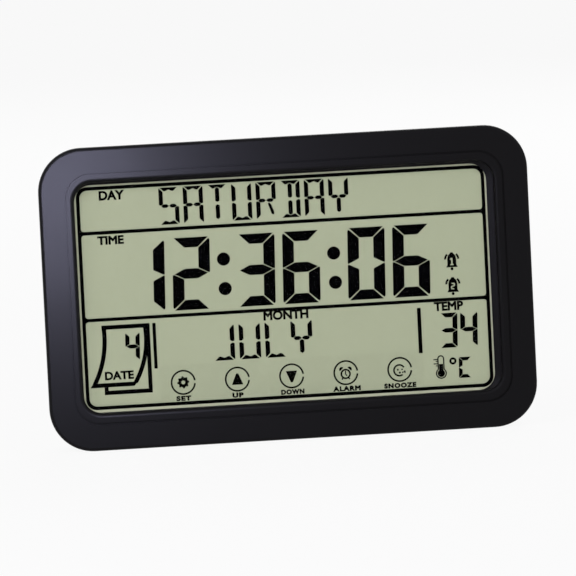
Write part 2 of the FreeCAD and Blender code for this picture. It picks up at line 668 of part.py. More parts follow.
def stand():
    """The folding leg: a ribbed plate on a round barrel, with a heel that stops it when it is open."""
    body = new_body("stand")
    leg = sketch_on(body, "XZ_Plane", y=STAND_FRONT)
    add_outline(leg, [
        ("-stand_tip_width / 2", STAND_TIP),
        ("stand_tip_width / 2", STAND_TIP),
        ("stand_width / 2", "hinge_height - stand_long / 3"),
        ("stand_width / 2", "hinge_height"),
        ("-stand_width / 2", "hinge_height"),
        ("-stand_width / 2", "hinge_height - stand_long / 3"),
    ])
    pad_back(body, leg, "stand_thick")
    pocket_rise = "(stand_long - 12)"
    for way in (-1, 0, 1):
        block(body, STAND_FRONT, f"({STAND_BACK} - stand_skin)", "stand_tip_width / 3 - stand_skin",
              pocket_rise, x=f"({way} * stand_tip_width / 3)", z=f"({STAND_TIP} + {pocket_rise} / 2 + 3)",
              cut=True)
    tip_corners = []
    document.recompute()
    for index, edge in enumerate(body.Shape.Edges, start=1):
        box = edge.BoundBox
        low = box.ZMax < value(STAND_TIP) + 0.01
        if low and box.XLength < 0.01 and box.YLength > 1:
            tip_corners.append(f"Edge{index}")
    trim_edges(body, "Fillet", tip_corners, "6")
    barrel = sketch_on(body, "YZ_Plane", y=HINGE_Y, z="hinge_height")
    add_circle(barrel, "barrel_radius")
    pad_both(body, barrel, "stand_width")
    heel = sketch_on(body, "YZ_Plane", y=HINGE_Y, z="hinge_height")
    add_outline(heel, [("0", "0"), ("heel_thick", "0"), ("heel_thick", "heel_reach"), ("0", "heel_reach")])
    pad_both(body, heel, "heel_width")
    pivot = sketch_on(body, "YZ_Plane", y=HINGE_Y, z="hinge_height")
    add_circle(pivot, "pivot_radius")
    pad_both(body, pivot, PIVOT_SPAN)


def display_stack():
    """The lens, its tape, the touch film and the liquid crystal cell, from front to back."""
    plate("display_lens", f"{GLASS_WIDTH} + 2 * lens_margin", f"{GLASS_HEIGHT} + 2 * lens_margin", "window_radius",
          LENS_FRONT, LENS_BACK, x=PANEL_X)
    tape = new_body("lens_tape")
    ring = sketch_on(tape, "XZ_Plane", x=PANEL_X, y=PLATE_BACK, z=MIDDLE)
    add_rectangle(ring, GLASS_WIDTH, GLASS_HEIGHT)
    add_rectangle(ring, f"{GLASS_WIDTH} - 2 * tape_wide", f"{GLASS_HEIGHT} - 2 * tape_wide")
    pad_back(tape, ring, "tape_thick")
    film_wide = "4 * key_pitch + 4 * key_radius"
    plate("touch_film", film_wide, "key_strip_rise", None, LENS_BACK, FILM_BACK, z=KEY_Z)
    ledge_rise = f"{GLASS_HEIGHT} - contact_ledge"
    ledge_z = f"({MIDDLE} - contact_ledge / 2)"
    sheet_wide = f"{GLASS_WIDTH} - 2 * film_inset"
    sheet_rise = f"{ledge_rise} - 2 * film_inset"
    plate("front_polariser", sheet_wide, sheet_rise, None, POLARISER_FRONT, GLASS_FRONT, x=PANEL_X, z=ledge_z)
    plate("lcd_front_glass", GLASS_WIDTH, GLASS_HEIGHT, None, GLASS_FRONT, GLASS_MIDDLE, x=PANEL_X)
    plate("lcd_rear_glass", GLASS_WIDTH, ledge_rise, None, GLASS_MIDDLE, GLASS_BACK, x=PANEL_X, z=ledge_z)
    plate("rear_reflector", sheet_wide, sheet_rise, None, GLASS_BACK, STACK_BACK, x=PANEL_X, z=ledge_z)
    plate("zebra_strip", "board_span - 2 * zebra_inset", "zebra_thick", None, GLASS_MIDDLE, BOARD_FRONT, z=ZEBRA_Z)


def touch_flex():
    """The touch film's tail, which runs under the display holder and up to the board."""
    front = f"({LENS_BACK} + film_thick / 2)"
    back = f"({HOLDER_BACK} + film_gap + film_thick / 2)"
    low = f"({MIDDLE} - {HOLDER_RISE} / 2 - film_gap - film_thick)"
    top = "(board_bottom + 2)"
    strip_foot = f"({KEY_Z} - key_strip_rise / 2)"
    bend = (value(back) - value(front)) * 0.45
    route = [(front, strip_foot), (front, f"({low} - 1)"), (back, f"({low} - 1)"), (back, top)]
    lead("touch_flex", "0", route, bend, lambda sketch: add_rectangle(sketch, "tail_wide", "film_thick"))
    plate("flex_connector", "tail_wide + 4", "5", None, f"({back} + film_thick / 2)", BOARD_FRONT,
          z=f"({top} + 0.5)")


def lcd_holder():
    """The frame that carries the display cell and the board, screwed to posts on the bezel."""
    body = new_body("lcd_holder")
    block(body, HOLDER_FRONT, HOLDER_BACK, HOLDER_SPAN, HOLDER_RISE, "2", x=PANEL_X, z=MIDDLE)
    block(body, HOLDER_FRONT, STACK_BACK, f"{GLASS_WIDTH} + 2 * holder_gap", f"{GLASS_HEIGHT} + 2 * holder_gap",
          x=PANEL_X, z=MIDDLE, cut=True)
    bar_x = f"({BOARD_SCREW_X})"
    side_left = f"({PANEL_X} - {GLASS_WIDTH} / 2 + holder_rim)"
    side_right = f"({PANEL_X} + {GLASS_WIDTH} / 2 - holder_rim)"
    openings = [
        (side_left, f"(-{bar_x} - holder_bar / 2)"),
        (f"(-{bar_x} + holder_bar / 2)", f"({bar_x} - holder_bar / 2)"),
        (f"({bar_x} + holder_bar / 2)", side_right),
    ]
    low = "(glass_end + holder_rim)"
    high = f"({GLASS_TOP} - contact_ledge - holder_rim / 2)"
    for left, right in openings:
        block(body, STACK_BACK, HOLDER_BACK, f"{right} - {left}", f"{high} - {low}",
              x=f"(({left} + {right}) / 2)", z=f"(({low} + {high}) / 2)", cut=True)
    block(body, STACK_BACK, HOLDER_BACK, "board_span - 2 * (zebra_inset - zebra_gap)",
          "zebra_thick + 2 * zebra_gap", z=ZEBRA_Z, cut=True)
    columns(body, HOLDER_BACK, BOARD_FRONT, "standoff_radius", board_screw_places(), sides=8)
    columns(body, STACK_BACK, BOARD_FRONT, "small_screw_radius - bite", board_screw_places(), cut=True,
            sides=6)
    for across, up in ear_places():
        way = "-1" if "-1 *" in up else "1"
        block(body, EAR_SEAT, EAR_BACK, "2 * ear_half", "ear_reach + ear_half + holder_wall / 2", x=across,
              z=f"({up} + {way} * (ear_half - ear_reach - holder_wall / 2) / 2)")
    columns(body, EAR_SEAT, EAR_BACK, "small_screw_radius + 0.2", ear_places(), cut=True, sides=6)


def main_board():
    """The circuit board and the parts soldered on it."""
    body = plate("main_board", "board_span", BOARD_RISE, None, BOARD_FRONT, BOARD_BACK, z=BOARD_Z)
    columns(body, BOARD_FRONT, BOARD_BACK, "small_screw_radius + 0.2", board_screw_places(), cut=True, sides=6)

    blob = new_body("controller_blob")
    columns(blob, BOARD_BACK, f"({BOARD_BACK} + 1.6)", "7", [("0", BOARD_Z)], sides=16)
    trim_edges(blob, "Chamfer", edges_at_depth(blob, f"({BOARD_BACK} + 1.6)"), "1.2")

    chip = plate("touch_chip", "10", "4", None, f"({BOARD_BACK} + 0.2)", f"({BOARD_BACK} + 1.7)", x="24",
                 z="board_bottom + 10")
    leads = sketch_on(chip, "XZ_Plane", x="24 - 3.81", y=BOARD_BACK, z="board_bottom + 10")
    add_rectangle(leads, "0.5", "6.4")
    lead = pad_back(chip, leads, "0.5")
    document.recompute()
    row = chip.newObject("PartDesign::LinearPattern", "chip_leads")
    row.Originals = [lead]
    row.Direction = (leads, ["H_Axis"])
    row.Length = 7.62
    row.Occurrences = 7
    chip.Tip = row

    plate("crystal_can", "10.2", "3.8", "1.89", BOARD_BACK, f"({BOARD_BACK} + 3.4)", x="-16",
          z=f"{BOARD_Z} - 14")

    buzzer = new_body("buzzer")
    place = [("-sound_left", "sound_height")]
    columns(buzzer, BOARD_BACK, f"({BOARD_BACK} + buzzer_tall)", "buzzer_radius", place, sides=16)
    columns(buzzer, f"({BOARD_BACK} + buzzer_tall - 1)", f"({BOARD_BACK} + buzzer_tall)", "1.2", place,
            cut=True, sides=8)

    capacitors = document.addObject("Part::Compound", "board_capacitors")
    capacitors.Links = [round_can(f"capacitor_{n}", f"(36 + {n} * 9)", f"{BOARD_Z} + 6") for n in (0, 1)]
    capacitors.Label = "board_capacitors"
    subparts.append(capacitors)

    resistors = document.addObject("Part::Compound", "chip_resistors")
    resistors.Links = [small_block(f"resistor_{n}", f"(-16 + {n} * 4.6)", f"{BOARD_Z} + 16") for n in range(8)]
    resistors.Label = "chip_resistors"
    subparts.append(resistors)

    thermistor = new_body("thermistor")
    feet = [("-vent_left + 5", "board_bottom + 3"), ("-vent_left + 7.5", "board_bottom + 3")]
    columns(thermistor, BOARD_BACK, f"({BOARD_BACK} + 5)", "0.35", feet, sides=6)
    columns(thermistor, f"({BOARD_BACK} + 4.6)", f"({BOARD_BACK} + 7.2)", "2.2",
            [("-vent_left + 6.25", "board_bottom + 3")], sides=8)


def round_can(name, across, up):
    """A small upright can on the board's back."""
    can = document.addObject("Part::Prism", name)
    can.Polygon = 12
    can.Circumradius = 2.5
    can.Height = 5.4
    can.Placement = Placement(Vector(), Rotation(Vector(1, 0, 0), -90))
    for axis, place in (("x", across), ("y", BOARD_BACK), ("z", up)):
        can.setExpression(f"Placement.Base.{axis}", tied(place))
    return can


def small_block(name, across, up):
    """A chip resistor on the board's back."""
    chip = document.addObject("Part::Box", name)
    chip.Length = 1.6
    chip.Width = 0.5
    chip.Height = 3.2
    for axis, place in (("x", across), ("y", BOARD_BACK), ("z", up)):
        chip.setExpression(f"Placement.Base.{axis}", tied(place))
    return chip


def battery_cells():
    """Two cells that lie opposite ways round in the bay, drawn with flat sides."""
    plus_left = f"({BAY_LEFT} + contact_thick)"
    plus_right = f"({BAY_RIGHT} - contact_thick)"
    for number, up, plus_end, way in ((1, CELL_HIGH, plus_left, 1), (2, CELL_LOW, plus_right, -1)):
        body = new_body(f"battery_cell_{number}")
        ends = [("nub_radius", "0", "nub_long + 0.2", 12), ("cell_radius", "nub_long", "cell_long", 24)]
        for radius, near, far, sides in ends:
            middle = f"({plus_end} + {way} * (({near}) + ({far})) / 2)"
            sketch = sketch_on(body, "YZ_Plane", x=middle, y=CELL_Y, z=up)
            add_polygon(sketch, sides, radius)
            pad_both(body, sketch, f"({far}) - ({near})")


def battery_contacts():
    """The plates at the ends of the bay and the springs that press on the cells."""
    positive = new_body("positive_contact")
    contact_plate(positive, f"({BAY_LEFT} + contact_thick / 2)", CELL_HIGH, "contact_side")
    contact_tag(positive, CELL_HIGH)
    negative = new_body("negative_spring")
    contact_plate(negative, f"({BAY_LEFT} + contact_thick / 2)", CELL_LOW, "contact_side")
    contact_tag(negative, CELL_LOW)
    coil_stand_in(negative, f"({BAY_LEFT} + contact_thick)", CELL_LOW, 1)
    bridge = new_body("bridge_contact")
    contact_plate(bridge, f"({BAY_RIGHT} - contact_thick / 2)", "bay_height",
                  "contact_side + 2 * cell_radius + cell_gap")
    coil_stand_in(bridge, f"({BAY_RIGHT} - contact_thick)", CELL_HIGH, -1)


def contact_plate(body, x, z, rise):
    """A flat spring steel plate across the end of the bay."""
    sketch = sketch_on(body, "YZ_Plane", x=x, y=CELL_Y, z=z)
    add_rectangle(sketch, "contact_side", rise)
    pad_both(body, sketch, "contact_thick")


def contact_tag(body, z):
    """The solder tag that passes through the slot in the end wall."""
    reach = "(bay_wall + contact_thick + 2)"
    sketch = sketch_on(body, "YZ_Plane", x=f"({BAY_LEFT} + contact_thick - {reach} / 2)", y=CELL_Y, z=z)
    add_rectangle(sketch, "3.6", "contact_thick")
    pad_both(body, sketch, reach)


def coil_stand_in(body, x, z, way):
    """The space of a coil spring between its plate and the cell."""
    sketch = sketch_on(body, "YZ_Plane", x=f"({x} + {way} * spring_long / 2)", y=CELL_Y, z=z)
    add_polygon(sketch, 12, "cell_radius / 2")
    pad_both(body, sketch, "spring_long")


def power_wires():
    """The two leads from the bay's contacts up to the board."""
    landing = f"({BOARD_BACK} + wire_radius)"
    turn_up = f"(bay_height + {BAY_TALL} / 2 + 6)"
    red_x = f"({BAY_LEFT} - bay_wall - 1.4)"
    ways = [
        ("power_wire_red", red_x, f"({CELL_Y} + 2.2)", f"({CELL_HIGH} + contact_thick / 2)"),
        ("power_wire_black", f"({red_x} - 2.2)", f"({CELL_Y} - 1.2)", CELL_LOW),
    ]
    for label, across, depth, start in ways:
        route = [(depth, start), (depth, turn_up), (landing, "(board_bottom + 3)"),
                 (landing, "(board_bottom + 12)")]
        lead(label, across, route, value("wire_bend"), lambda sketch: add_polygon(sketch, 6, "wire_radius"))


def lead(label, across, route, bend, draw_section):
    """Run one section along a route of (depth, height) points in an upright plane."""
    body = new_body(label)
    path = sketch_on(body, "YZ_Plane", x=across)
    path.addGeometry(bent_route([(value(y), value(up)) for y, up in route], bend), False)
    section = sketch_on(body, "XY_Plane", x=across, y=route[0][0], z=route[0][1])
    draw_section(section)
    pipe = feature(body, "AdditivePipe", section)
    pipe.Spine = path


def bent_route(points, radius):
    """Turn a list of points into straight runs joined by tangent arcs."""
    pieces = []
    start = Vector(*points[0])
    for before, corner, after in zip(points, points[1:], points[2:]):
        corner = Vector(*corner)
        back = (Vector(*before) - corner).normalize()
        ahead = (Vector(*after) - corner).normalize()
        half_turn = back.getAngle(ahead) / 2
        reach = radius / math.tan(half_turn)
        middle = corner + (back + ahead).normalize() * (radius / math.sin(half_turn) - radius)
        pieces.append(Part.LineSegment(start, corner + back * reach))
        pieces.append(Part.Arc(corner + back * reach, middle, corner + ahead * reach))
        start = corner + ahead * reach
    pieces.append(Part.LineSegment(start, Vector(*points[-1])))
    return pieces


def screws(label, places, seat, shank_radius, length, head_radius, head_tall):
    """A group of round-headed screws that all point to the front."""
    body = new_body(label)
    columns(body, f"({seat} - {length})", seat, shank_radius, places, sides=6)
    columns(body, seat, f"({seat} + {head_tall})", head_radius, places, sides=8)


front_bezel()
rear_cover()
battery_door()
stand()
display_stack()
touch_flex()
lcd_holder()
main_board()
battery_cells()
battery_contacts()
power_wires()
screws("case_screws", screw_places(), WELL_SEAT, "case_screw_radius - bite", "case_screw_long",
       "well_radius - 0.3", "1.8")
screws("holder_screws", ear_places(), EAR_BACK, "small_screw_radius - bite", "small_screw_long", "1.9", "1.2")
screws("board_screws", board_screw_places(), BOARD_BACK, "small_screw_radius - 2 * bite", "small_screw_long",
       "1.9", "1.2")

document.recompute()
failed = [thing.Name for thing in document.Objects if {"Invalid", "Error"} & set(thing.State)]
if failed:
    raise RuntimeError(f"These did not build: {failed}")
for part in subparts:
    if part.Shape.isNull() or not part.Shape.isValid():
        raise RuntimeError(f"{part.Label} has no valid shape")

os.makedirs("parts", exist_ok=True)
for part in subparts:
    part.Shape.exportStep(f"parts/{part.Label}.step")
    box = part.Shape.BoundBox
    print(f"{part.Label}: {len(part.Shape.Solids)} solid(s), {part.Shape.Volume:.0f} mm3, "
          f"{box.XLength:.1f} x {box.YLength:.1f} x {box.ZLength:.1f} mm")
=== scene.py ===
# %% [markdown]
# # A day clock with a large display
# The clock is a charcoal plastic case round a wide liquid crystal panel. Its solid parts come from the
# imported model, which is loaded first and stays where it is. This script gives every part its finish and
# adds what is too thin or too fine for a solid: the dark shapes of the display, the signs on the touch
# keys and the turned wire of the springs. On the screw heads it also puts thin black crosses, which are
# painted shade for their cross recesses.

# %% Load the solid parts
import json
import math

import bmesh
import bpy
from mathutils import Matrix, Vector

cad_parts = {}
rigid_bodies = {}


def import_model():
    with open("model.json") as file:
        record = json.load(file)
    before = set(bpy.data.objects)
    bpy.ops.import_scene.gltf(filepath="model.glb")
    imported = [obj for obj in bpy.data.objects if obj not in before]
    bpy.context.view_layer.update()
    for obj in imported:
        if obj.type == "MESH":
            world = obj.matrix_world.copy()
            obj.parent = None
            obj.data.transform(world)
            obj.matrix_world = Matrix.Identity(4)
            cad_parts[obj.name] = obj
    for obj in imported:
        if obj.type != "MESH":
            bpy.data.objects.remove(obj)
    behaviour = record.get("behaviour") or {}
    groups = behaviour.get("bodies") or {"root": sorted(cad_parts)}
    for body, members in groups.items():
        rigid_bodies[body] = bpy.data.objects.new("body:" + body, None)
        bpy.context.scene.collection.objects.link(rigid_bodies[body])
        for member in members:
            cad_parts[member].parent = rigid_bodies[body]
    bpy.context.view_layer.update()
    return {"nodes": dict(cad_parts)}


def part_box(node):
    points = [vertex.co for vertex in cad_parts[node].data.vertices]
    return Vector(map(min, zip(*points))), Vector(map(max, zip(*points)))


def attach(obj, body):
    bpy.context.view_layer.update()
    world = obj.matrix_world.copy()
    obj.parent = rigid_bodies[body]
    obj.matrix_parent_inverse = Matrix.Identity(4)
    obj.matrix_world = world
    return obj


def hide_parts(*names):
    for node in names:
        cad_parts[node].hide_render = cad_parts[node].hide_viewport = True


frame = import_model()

# %% [markdown]
# ## Measures
# A clock like this is drawn from the middle of its face, in millimetres: x to the right, z upwards. The
# model is in metres and stands on the floor. One small function turns the first into the second. The
# middle of the face is taken from the bezel's own box, so the drawing follows the solid part.

# %% From face millimetres to the model
MM = 0.001
bezel_low, bezel_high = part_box("front_bezel")
FACE_MIDDLE = Vector(((bezel_low.x + bezel_high.x) / 2, bezel_low.y, (bezel_low.z + bezel_high.z) / 2))


def on_face(x, z, y=0.0):
    """A point in metres from face millimetres: x right and z up from its middle, y back from its front."""
    return FACE_MIDDLE + Vector((x, y, z)) * MM


print("middle of the face", tuple(FACE_MIDDLE))

# %% [markdown]
# ## Colours and nodes
# A colour is written as the hex value that a screen shows. Blender mixes light in linear values, so one
# function converts it. A second function adds a node, sets it and links it, which keeps each finish
# short enough to read as a recipe. The Mix node has a socket of the same name for each kind of value, so
# its colour sockets are found by their numbers.

# %% Helpers for every finish
MIX_SHARE, MIX_FIRST, MIX_SECOND, MIX_RESULT = 0, 6, 7, 2


def linear(hex_colour):
    """The linear colour, with full alpha, of an sRGB hex value."""
    shown = [int(hex_colour[i:i + 2], 16) / 255 for i in (1, 3, 5)]
    return tuple(s / 12.92 if s <= 0.04045 else ((s + 0.055) / 1.055) ** 2.4 for s in shown) + (1.0,)


def add(tree, kind, inputs=None, **settings):
    """Adds a node. Settings are its properties; inputs are its sockets, set to a value or linked."""
    made = tree.nodes.new(kind)
    for name, value in settings.items():
        setattr(made, name, value)
    for name, value in (inputs or {}).items():
        if isinstance(value, bpy.types.NodeSocket):
            tree.links.new(value, made.inputs[name])
        else:
            made.inputs[name].default_value = value
    return made


def new_finish(name):
    """An empty material and its node tree."""
    material = bpy.data.materials.new(name)
    material.use_nodes = True
    material.node_tree.nodes.clear()
    return material, material.node_tree


print("charcoal in linear light", linear("#2b2a30"))

# %% [markdown]
# ## The camera
# The photograph was taken from far away with a long lens: the face's opposite edges are almost parallel.
# So the lens is long, and the camera stands a little to the left of the clock and a little above it. The
# clock leans a few degrees in the picture, which is the camera's roll. A camera could be turned by hand
# until it fits; here it is built from the direction it looks from, because that can be read and changed.
# The lens and the sensor are in millimetres, and the distances are in metres.

# %% Aim the camera
LENS = 500.0
SENSOR = 36.0
AWAY = 3.743
NEAREST, FARTHEST = 0.1, 60.0
FROM_LEFT = math.radians(5.7)
FROM_ABOVE = math.radians(5.4)
ROLL = math.radians(2.82)
aim = on_face(-0.49, 0.22)
towards_camera = Vector((
    -math.sin(FROM_LEFT) * math.cos(FROM_ABOVE),
    -math.cos(FROM_LEFT) * math.cos(FROM_ABOVE),
    math.sin(FROM_ABOVE),
))
camera = bpy.data.objects.new("camera", bpy.data.cameras.new("camera"))
bpy.context.scene.collection.objects.link(camera)
camera.data.lens = LENS
camera.data.sensor_width = SENSOR
camera.data.clip_start = NEAREST
camera.data.clip_end = FARTHEST
turned = (-towards_camera).to_track_quat("-Z", "Y").to_matrix().to_4x4()
stand_at = Matrix.Translation(aim + towards_camera * AWAY)
camera.matrix_world = stand_at @ turned @ Matrix.Rotation(-ROLL, 4, "Z")
bpy.context.scene.camera = camera
print("camera at", tuple(round(c, 3) for c in camera.matrix_world.translation))

# %% [markdown]
# ## The table and the light
# The clock stands on a plain white table with white all round it, lit softly from the upper left. A
# table that only shone would lose the clock's shadow, so it mixes a white that is seen with a surface
# that takes light and shadow. The world is white to the camera, to reflections and through clear
# plastic, and a quieter grey as a lamp. The panel lies behind the clear lens, so what lights it is
# mostly that white. Lamps are in metres and watts.

# %% Which rays see white


def seen_white(tree):
    """Is 1 for rays that show the surroundings: from the camera, off a gloss, or through clear plastic."""
    path = add(tree, "ShaderNodeLightPath").outputs
    seen = path["Is Camera Ray"]
    for kind in ("Is Glossy Ray", "Is Transmission Ray"):
        seen = add(tree, "ShaderNodeMath", {0: seen, 1: path[kind]}, operation="MAXIMUM").outputs[0]
    return seen


# %% White table
TABLE_HALF = 20.0
WHITE_SHARE = 0.92
table_finish, tree = new_finish("white_table")
share = add(tree, "ShaderNodeMath", {0: seen_white(tree), 1: WHITE_SHARE}, operation="MULTIPLY")
lit = add(tree, "ShaderNodeBsdfDiffuse", {"Color": linear("#f4f4f4")})
white = add(tree, "ShaderNodeEmission", {"Color": linear("#ffffff"), "Strength": 1.0})
both = add(tree, "ShaderNodeMixShader", {0: share.outputs[0], 1: lit.outputs[0], 2: white.outputs[0]})
add(tree, "ShaderNodeOutputMaterial", {"Surface": both.outputs[0]})

bm = bmesh.new()
bmesh.ops.create_grid(bm, x_segments=2, y_segments=2, size=TABLE_HALF)
table_mesh = bpy.data.meshes.new("table")
bm.to_mesh(table_mesh)
bm.free()
table_mesh.materials.append(table_finish)
table = bpy.data.objects.new("table", table_mesh)
bpy.context.scene.collection.objects.link(table)
print("table", [round(d, 2) for d in table.dimensions])

# %% White surroundings
LAMP_STRENGTH = 0.26
world = bpy.data.worlds.new("studio")
bpy.context.scene.world = world
world.use_nodes = True
tree = world.node_tree
tree.nodes.clear()
seen = seen_white(tree)
lamp_part = add(tree, "ShaderNodeBackground", {"Color": linear("#ffffff"), "Strength": LAMP_STRENGTH})
seen_part = add(tree, "ShaderNodeBackground", {"Color": linear("#ffffff"), "Strength": 1.0})
both = add(tree, "ShaderNodeMixShader", {0: seen, 1: lamp_part.outputs[0], 2: seen_part.outputs[0]})
add(tree, "ShaderNodeOutputWorld", {"Surface": both.outputs[0]})
bpy.context.scene.view_settings.view_transform = "Standard"
print("the world shines as a lamp at", LAMP_STRENGTH)

# %% Soft light from the upper left


def softbox(name, place, size, watts, tint="#ffffff", target=FACE_MIDDLE):
    """A square lamp that looks at the target, which is the middle of the face unless another is given."""
    lamp = bpy.data.lights.new(name, "AREA")
    lamp.shape = "SQUARE"
    lamp.size = size
    lamp.energy = watts
    lamp.color = linear(tint)[:3]
    stand = bpy.data.objects.new(name, lamp)
    bpy.context.scene.collection.objects.link(stand)
    turned = (target - place).to_track_quat("-Z", "Y").to_matrix().to_4x4()
    stand.matrix_world = Matrix.Translation(place) @ turned
    return stand


softbox("key_light", Vector((-0.55, -0.75, 0.75)), size=0.5, watts=3.4, tint="#f6f4ff")
softbox("fill_light", Vector((1.2, -1.6, 1.0)), size=1.0, watts=2.9)
softbox("back_light", Vector((0.6, 1.8, 1.2)), size=1.2, watts=14.0)

# %% [markdown]
# ## The gloss on the upper left
# The case is lighter and a little violet round its upper left corner, where its satin plastic reflects
# something bright. A stronger key light would whiten the whole picture, so a small card of light stands
# in front of that corner instead. Only the two halves of the case take its light, and only as a
# reflection. Its beam is narrow, so the right side of the case stays dark.

# %% A card of light for the case
CARD_X, CARD_Z, CARD_AWAY = -104, 44, 250
CARD_BEAM = math.radians(84)
card_place, card_target = on_face(CARD_X, CARD_Z, -CARD_AWAY), on_face(CARD_X, CARD_Z)
gloss_card = softbox("gloss_card", card_place, size=0.06, watts=0.49, tint="#dcdcff", target=card_target)
gloss_card.data.spread = CARD_BEAM
gloss_card.visible_diffuse = False
gloss_card.visible_camera = False
case_parts = bpy.data.collections.new("case_parts")
for name in ("front_bezel", "rear_cover"):
    case_parts.objects.link(frame["nodes"][name])
gloss_card.light_linking.receiver_collection = case_parts

# %% [markdown]
# ## Moulded plastics
# Most of the clock is injection moulded: ABS for the case, the door and the stand, ABS or nylon for the
# parts inside. The mould is spark-eroded, so the case has a fine even grain and a satin light, and no
# gloss. A flat colour would look like paper, so each plastic gets a grain in its bump, a slow change of
# roughness where hands have been, and a colour that wanders by a hair. The real grain is about 0.15 mm,
# finer than a pixel of the picture, so it is drawn about three times as coarse as it is. A noise's scale
# is how many of its spots fit in a metre, so a width in millimetres is turned round.

# %% A recipe for moulded plastic
HAND_MARKS_PER_METRE = 18.0
dressed = set()


def moulded(name, base, worn, roughness, grain_mm, depth_mm, specular=0.5):
    """Satin plastic: a grain as wide as grain_mm, and large soft patches between the two colours."""
    material, tree = new_finish(name)
    place = add(tree, "ShaderNodeTexCoord").outputs["Object"]
    patches = add(tree, "ShaderNodeTexNoise", {
        "Vector": place, "Scale": HAND_MARKS_PER_METRE, "Detail": 3.0, "Roughness": 0.5,
    })
    grain = add(tree, "ShaderNodeTexNoise", {
        "Vector": place, "Scale": 1000 / grain_mm, "Detail": 2.0, "Roughness": 0.6,
    })
    colour = add(tree, "ShaderNodeMix", {
        MIX_SHARE: patches.outputs["Fac"], MIX_FIRST: linear(base), MIX_SECOND: linear(worn),
    }, data_type="RGBA")
    satin = add(tree, "ShaderNodeMapRange", {
        "Value": patches.outputs["Fac"], "To Min": roughness - 0.05, "To Max": roughness + 0.05,
    })
    bump = add(tree, "ShaderNodeBump", {
        "Height": grain.outputs["Fac"], "Strength": 0.5, "Distance": depth_mm * MM,
    })
    skin = add(tree, "ShaderNodeBsdfPrincipled", {
        "Base Color": colour.outputs[MIX_RESULT], "Roughness": satin.outputs[0], "Normal": bump.outputs[0],
        "IOR": 1.54, "Specular IOR Level": specular,
    })
    add(tree, "ShaderNodeOutputMaterial", {"Surface": skin.outputs[0]})
    return material


def dress(material, *names):
    """Gives the finish to every slot of these solid parts."""
    for name in names:
        for slot in frame["nodes"][name].material_slots:
            slot.material = material
        dressed.add(name)


charcoal_abs = moulded(
    "charcoal_abs", "#131214", "#171619", roughness=0.42, grain_mm=0.5, depth_mm=0.02, specular=0.07)
dress(charcoal_abs, "front_bezel", "rear_cover", "battery_door", "stand")
white_abs = moulded("white_abs", "#d9d8d0", "#e2e1d9", roughness=0.5, grain_mm=0.5, depth_mm=0.02)
dress(white_abs, "lcd_holder")
black_nylon = moulded("black_nylon", "#1b1b1c", "#222224", roughness=0.38, grain_mm=0.4, depth_mm=0.01)
dress(black_nylon, "flex_connector", "buzzer", "touch_chip")
print("moulded", [m.name for m in (charcoal_abs, white_abs, black_nylon)])

# %% [markdown]
# ## Clear and optical layers
# In front is a clear acrylic lens. Behind it lies the display: a polariser, two sheets of glass and a
# grey-green reflector, which together look like one even surface. The clear lens must let lamp light
# through, so a shadow ray meets a see-through shader there and everything else meets glass. Acrylic
# bends light with an index of 1.49. At that index the lens mirrored the white surroundings and the black
# shapes behind it turned grey, which isn't so on the real clock, so its index here is barely above 1.

# %% Lens and glass
WIPES_PER_METRE = 12.0


def clear(name, tint, roughness, ior, through):
    """Clear plastic or glass that lamp light passes: through is how much of it a shadow ray keeps."""
    material, tree = new_finish(name)
    path = add(tree, "ShaderNodeLightPath")
    place = add(tree, "ShaderNodeTexCoord").outputs["Object"]
    haze = add(tree, "ShaderNodeTexNoise", {"Vector": place, "Scale": WIPES_PER_METRE, "Detail": 2.0})
    wiped = add(tree, "ShaderNodeMapRange", {
        "Value": haze.outputs["Fac"], "To Min": roughness * 0.7, "To Max": roughness * 1.3,
    })
    solid = add(tree, "ShaderNodeBsdfPrincipled", {
        "Base Color": linear(tint), "Roughness": wiped.outputs[0], "IOR": ior, "Transmission Weight": 1.0,
    })
    open_way = add(tree, "ShaderNodeBsdfTransparent", {"Color": (through, through, through, 1)})
    both = add(tree, "ShaderNodeMixShader", {
        0: path.outputs["Is Shadow Ray"], 1: solid.outputs[0], 2: open_way.outputs[0],
    })
    add(tree, "ShaderNodeOutputMaterial", {"Surface": both.outputs[0]})
    return material


clear_acrylic = clear("clear_acrylic", "#fdfdfc", roughness=0.02, ior=1.06, through=0.96)
dress(clear_acrylic, "display_lens")
display_glass = clear("display_glass", "#eef4ee", roughness=0.01, ior=1.52, through=0.95)
dress(display_glass, "lcd_front_glass", "lcd_rear_glass")
print("clear", clear_acrylic.name, display_glass.name)

# %% [markdown]
# ## Films
# The touch film and its tail lie in front of the panel and are hardly seen, so they only take a trace of
# the light. The polariser is what the eye rests on: a matt film, pale grey-green, with the faintest
# mottling. The reflector behind it is paler, with a silky light from its fine silver coating.

# %% Clear touch film
FILM_HAZE_PER_METRE = 60.0


def clear_film(name, tint, cover):
    """A film too thin to bend light: it is see-through but for the share called cover."""
    material, tree = new_finish(name)
    place = add(tree, "ShaderNodeTexCoord").outputs["Object"]
    haze = add(tree, "ShaderNodeTexNoise", {"Vector": place, "Scale": FILM_HAZE_PER_METRE, "Detail": 3.0})
    rough = add(tree, "ShaderNodeMapRange", {"Value": haze.outputs["Fac"], "To Min": 0.35, "To Max": 0.55})
    skin = add(tree, "ShaderNodeBsdfPrincipled", {
        "Base Color": linear(tint), "Roughness": rough.outputs[0],
        "Alpha": cover, "Specular IOR Level": 0.1,
    })
    add(tree, "ShaderNodeOutputMaterial", {"Surface": skin.outputs[0]})
    return material


clear_polyester = clear_film("clear_polyester_film", "#20211e", cover=0.01)
dress(clear_polyester, "touch_film", "touch_flex")
print("film", clear_polyester.name)

# %% The grey-green panel


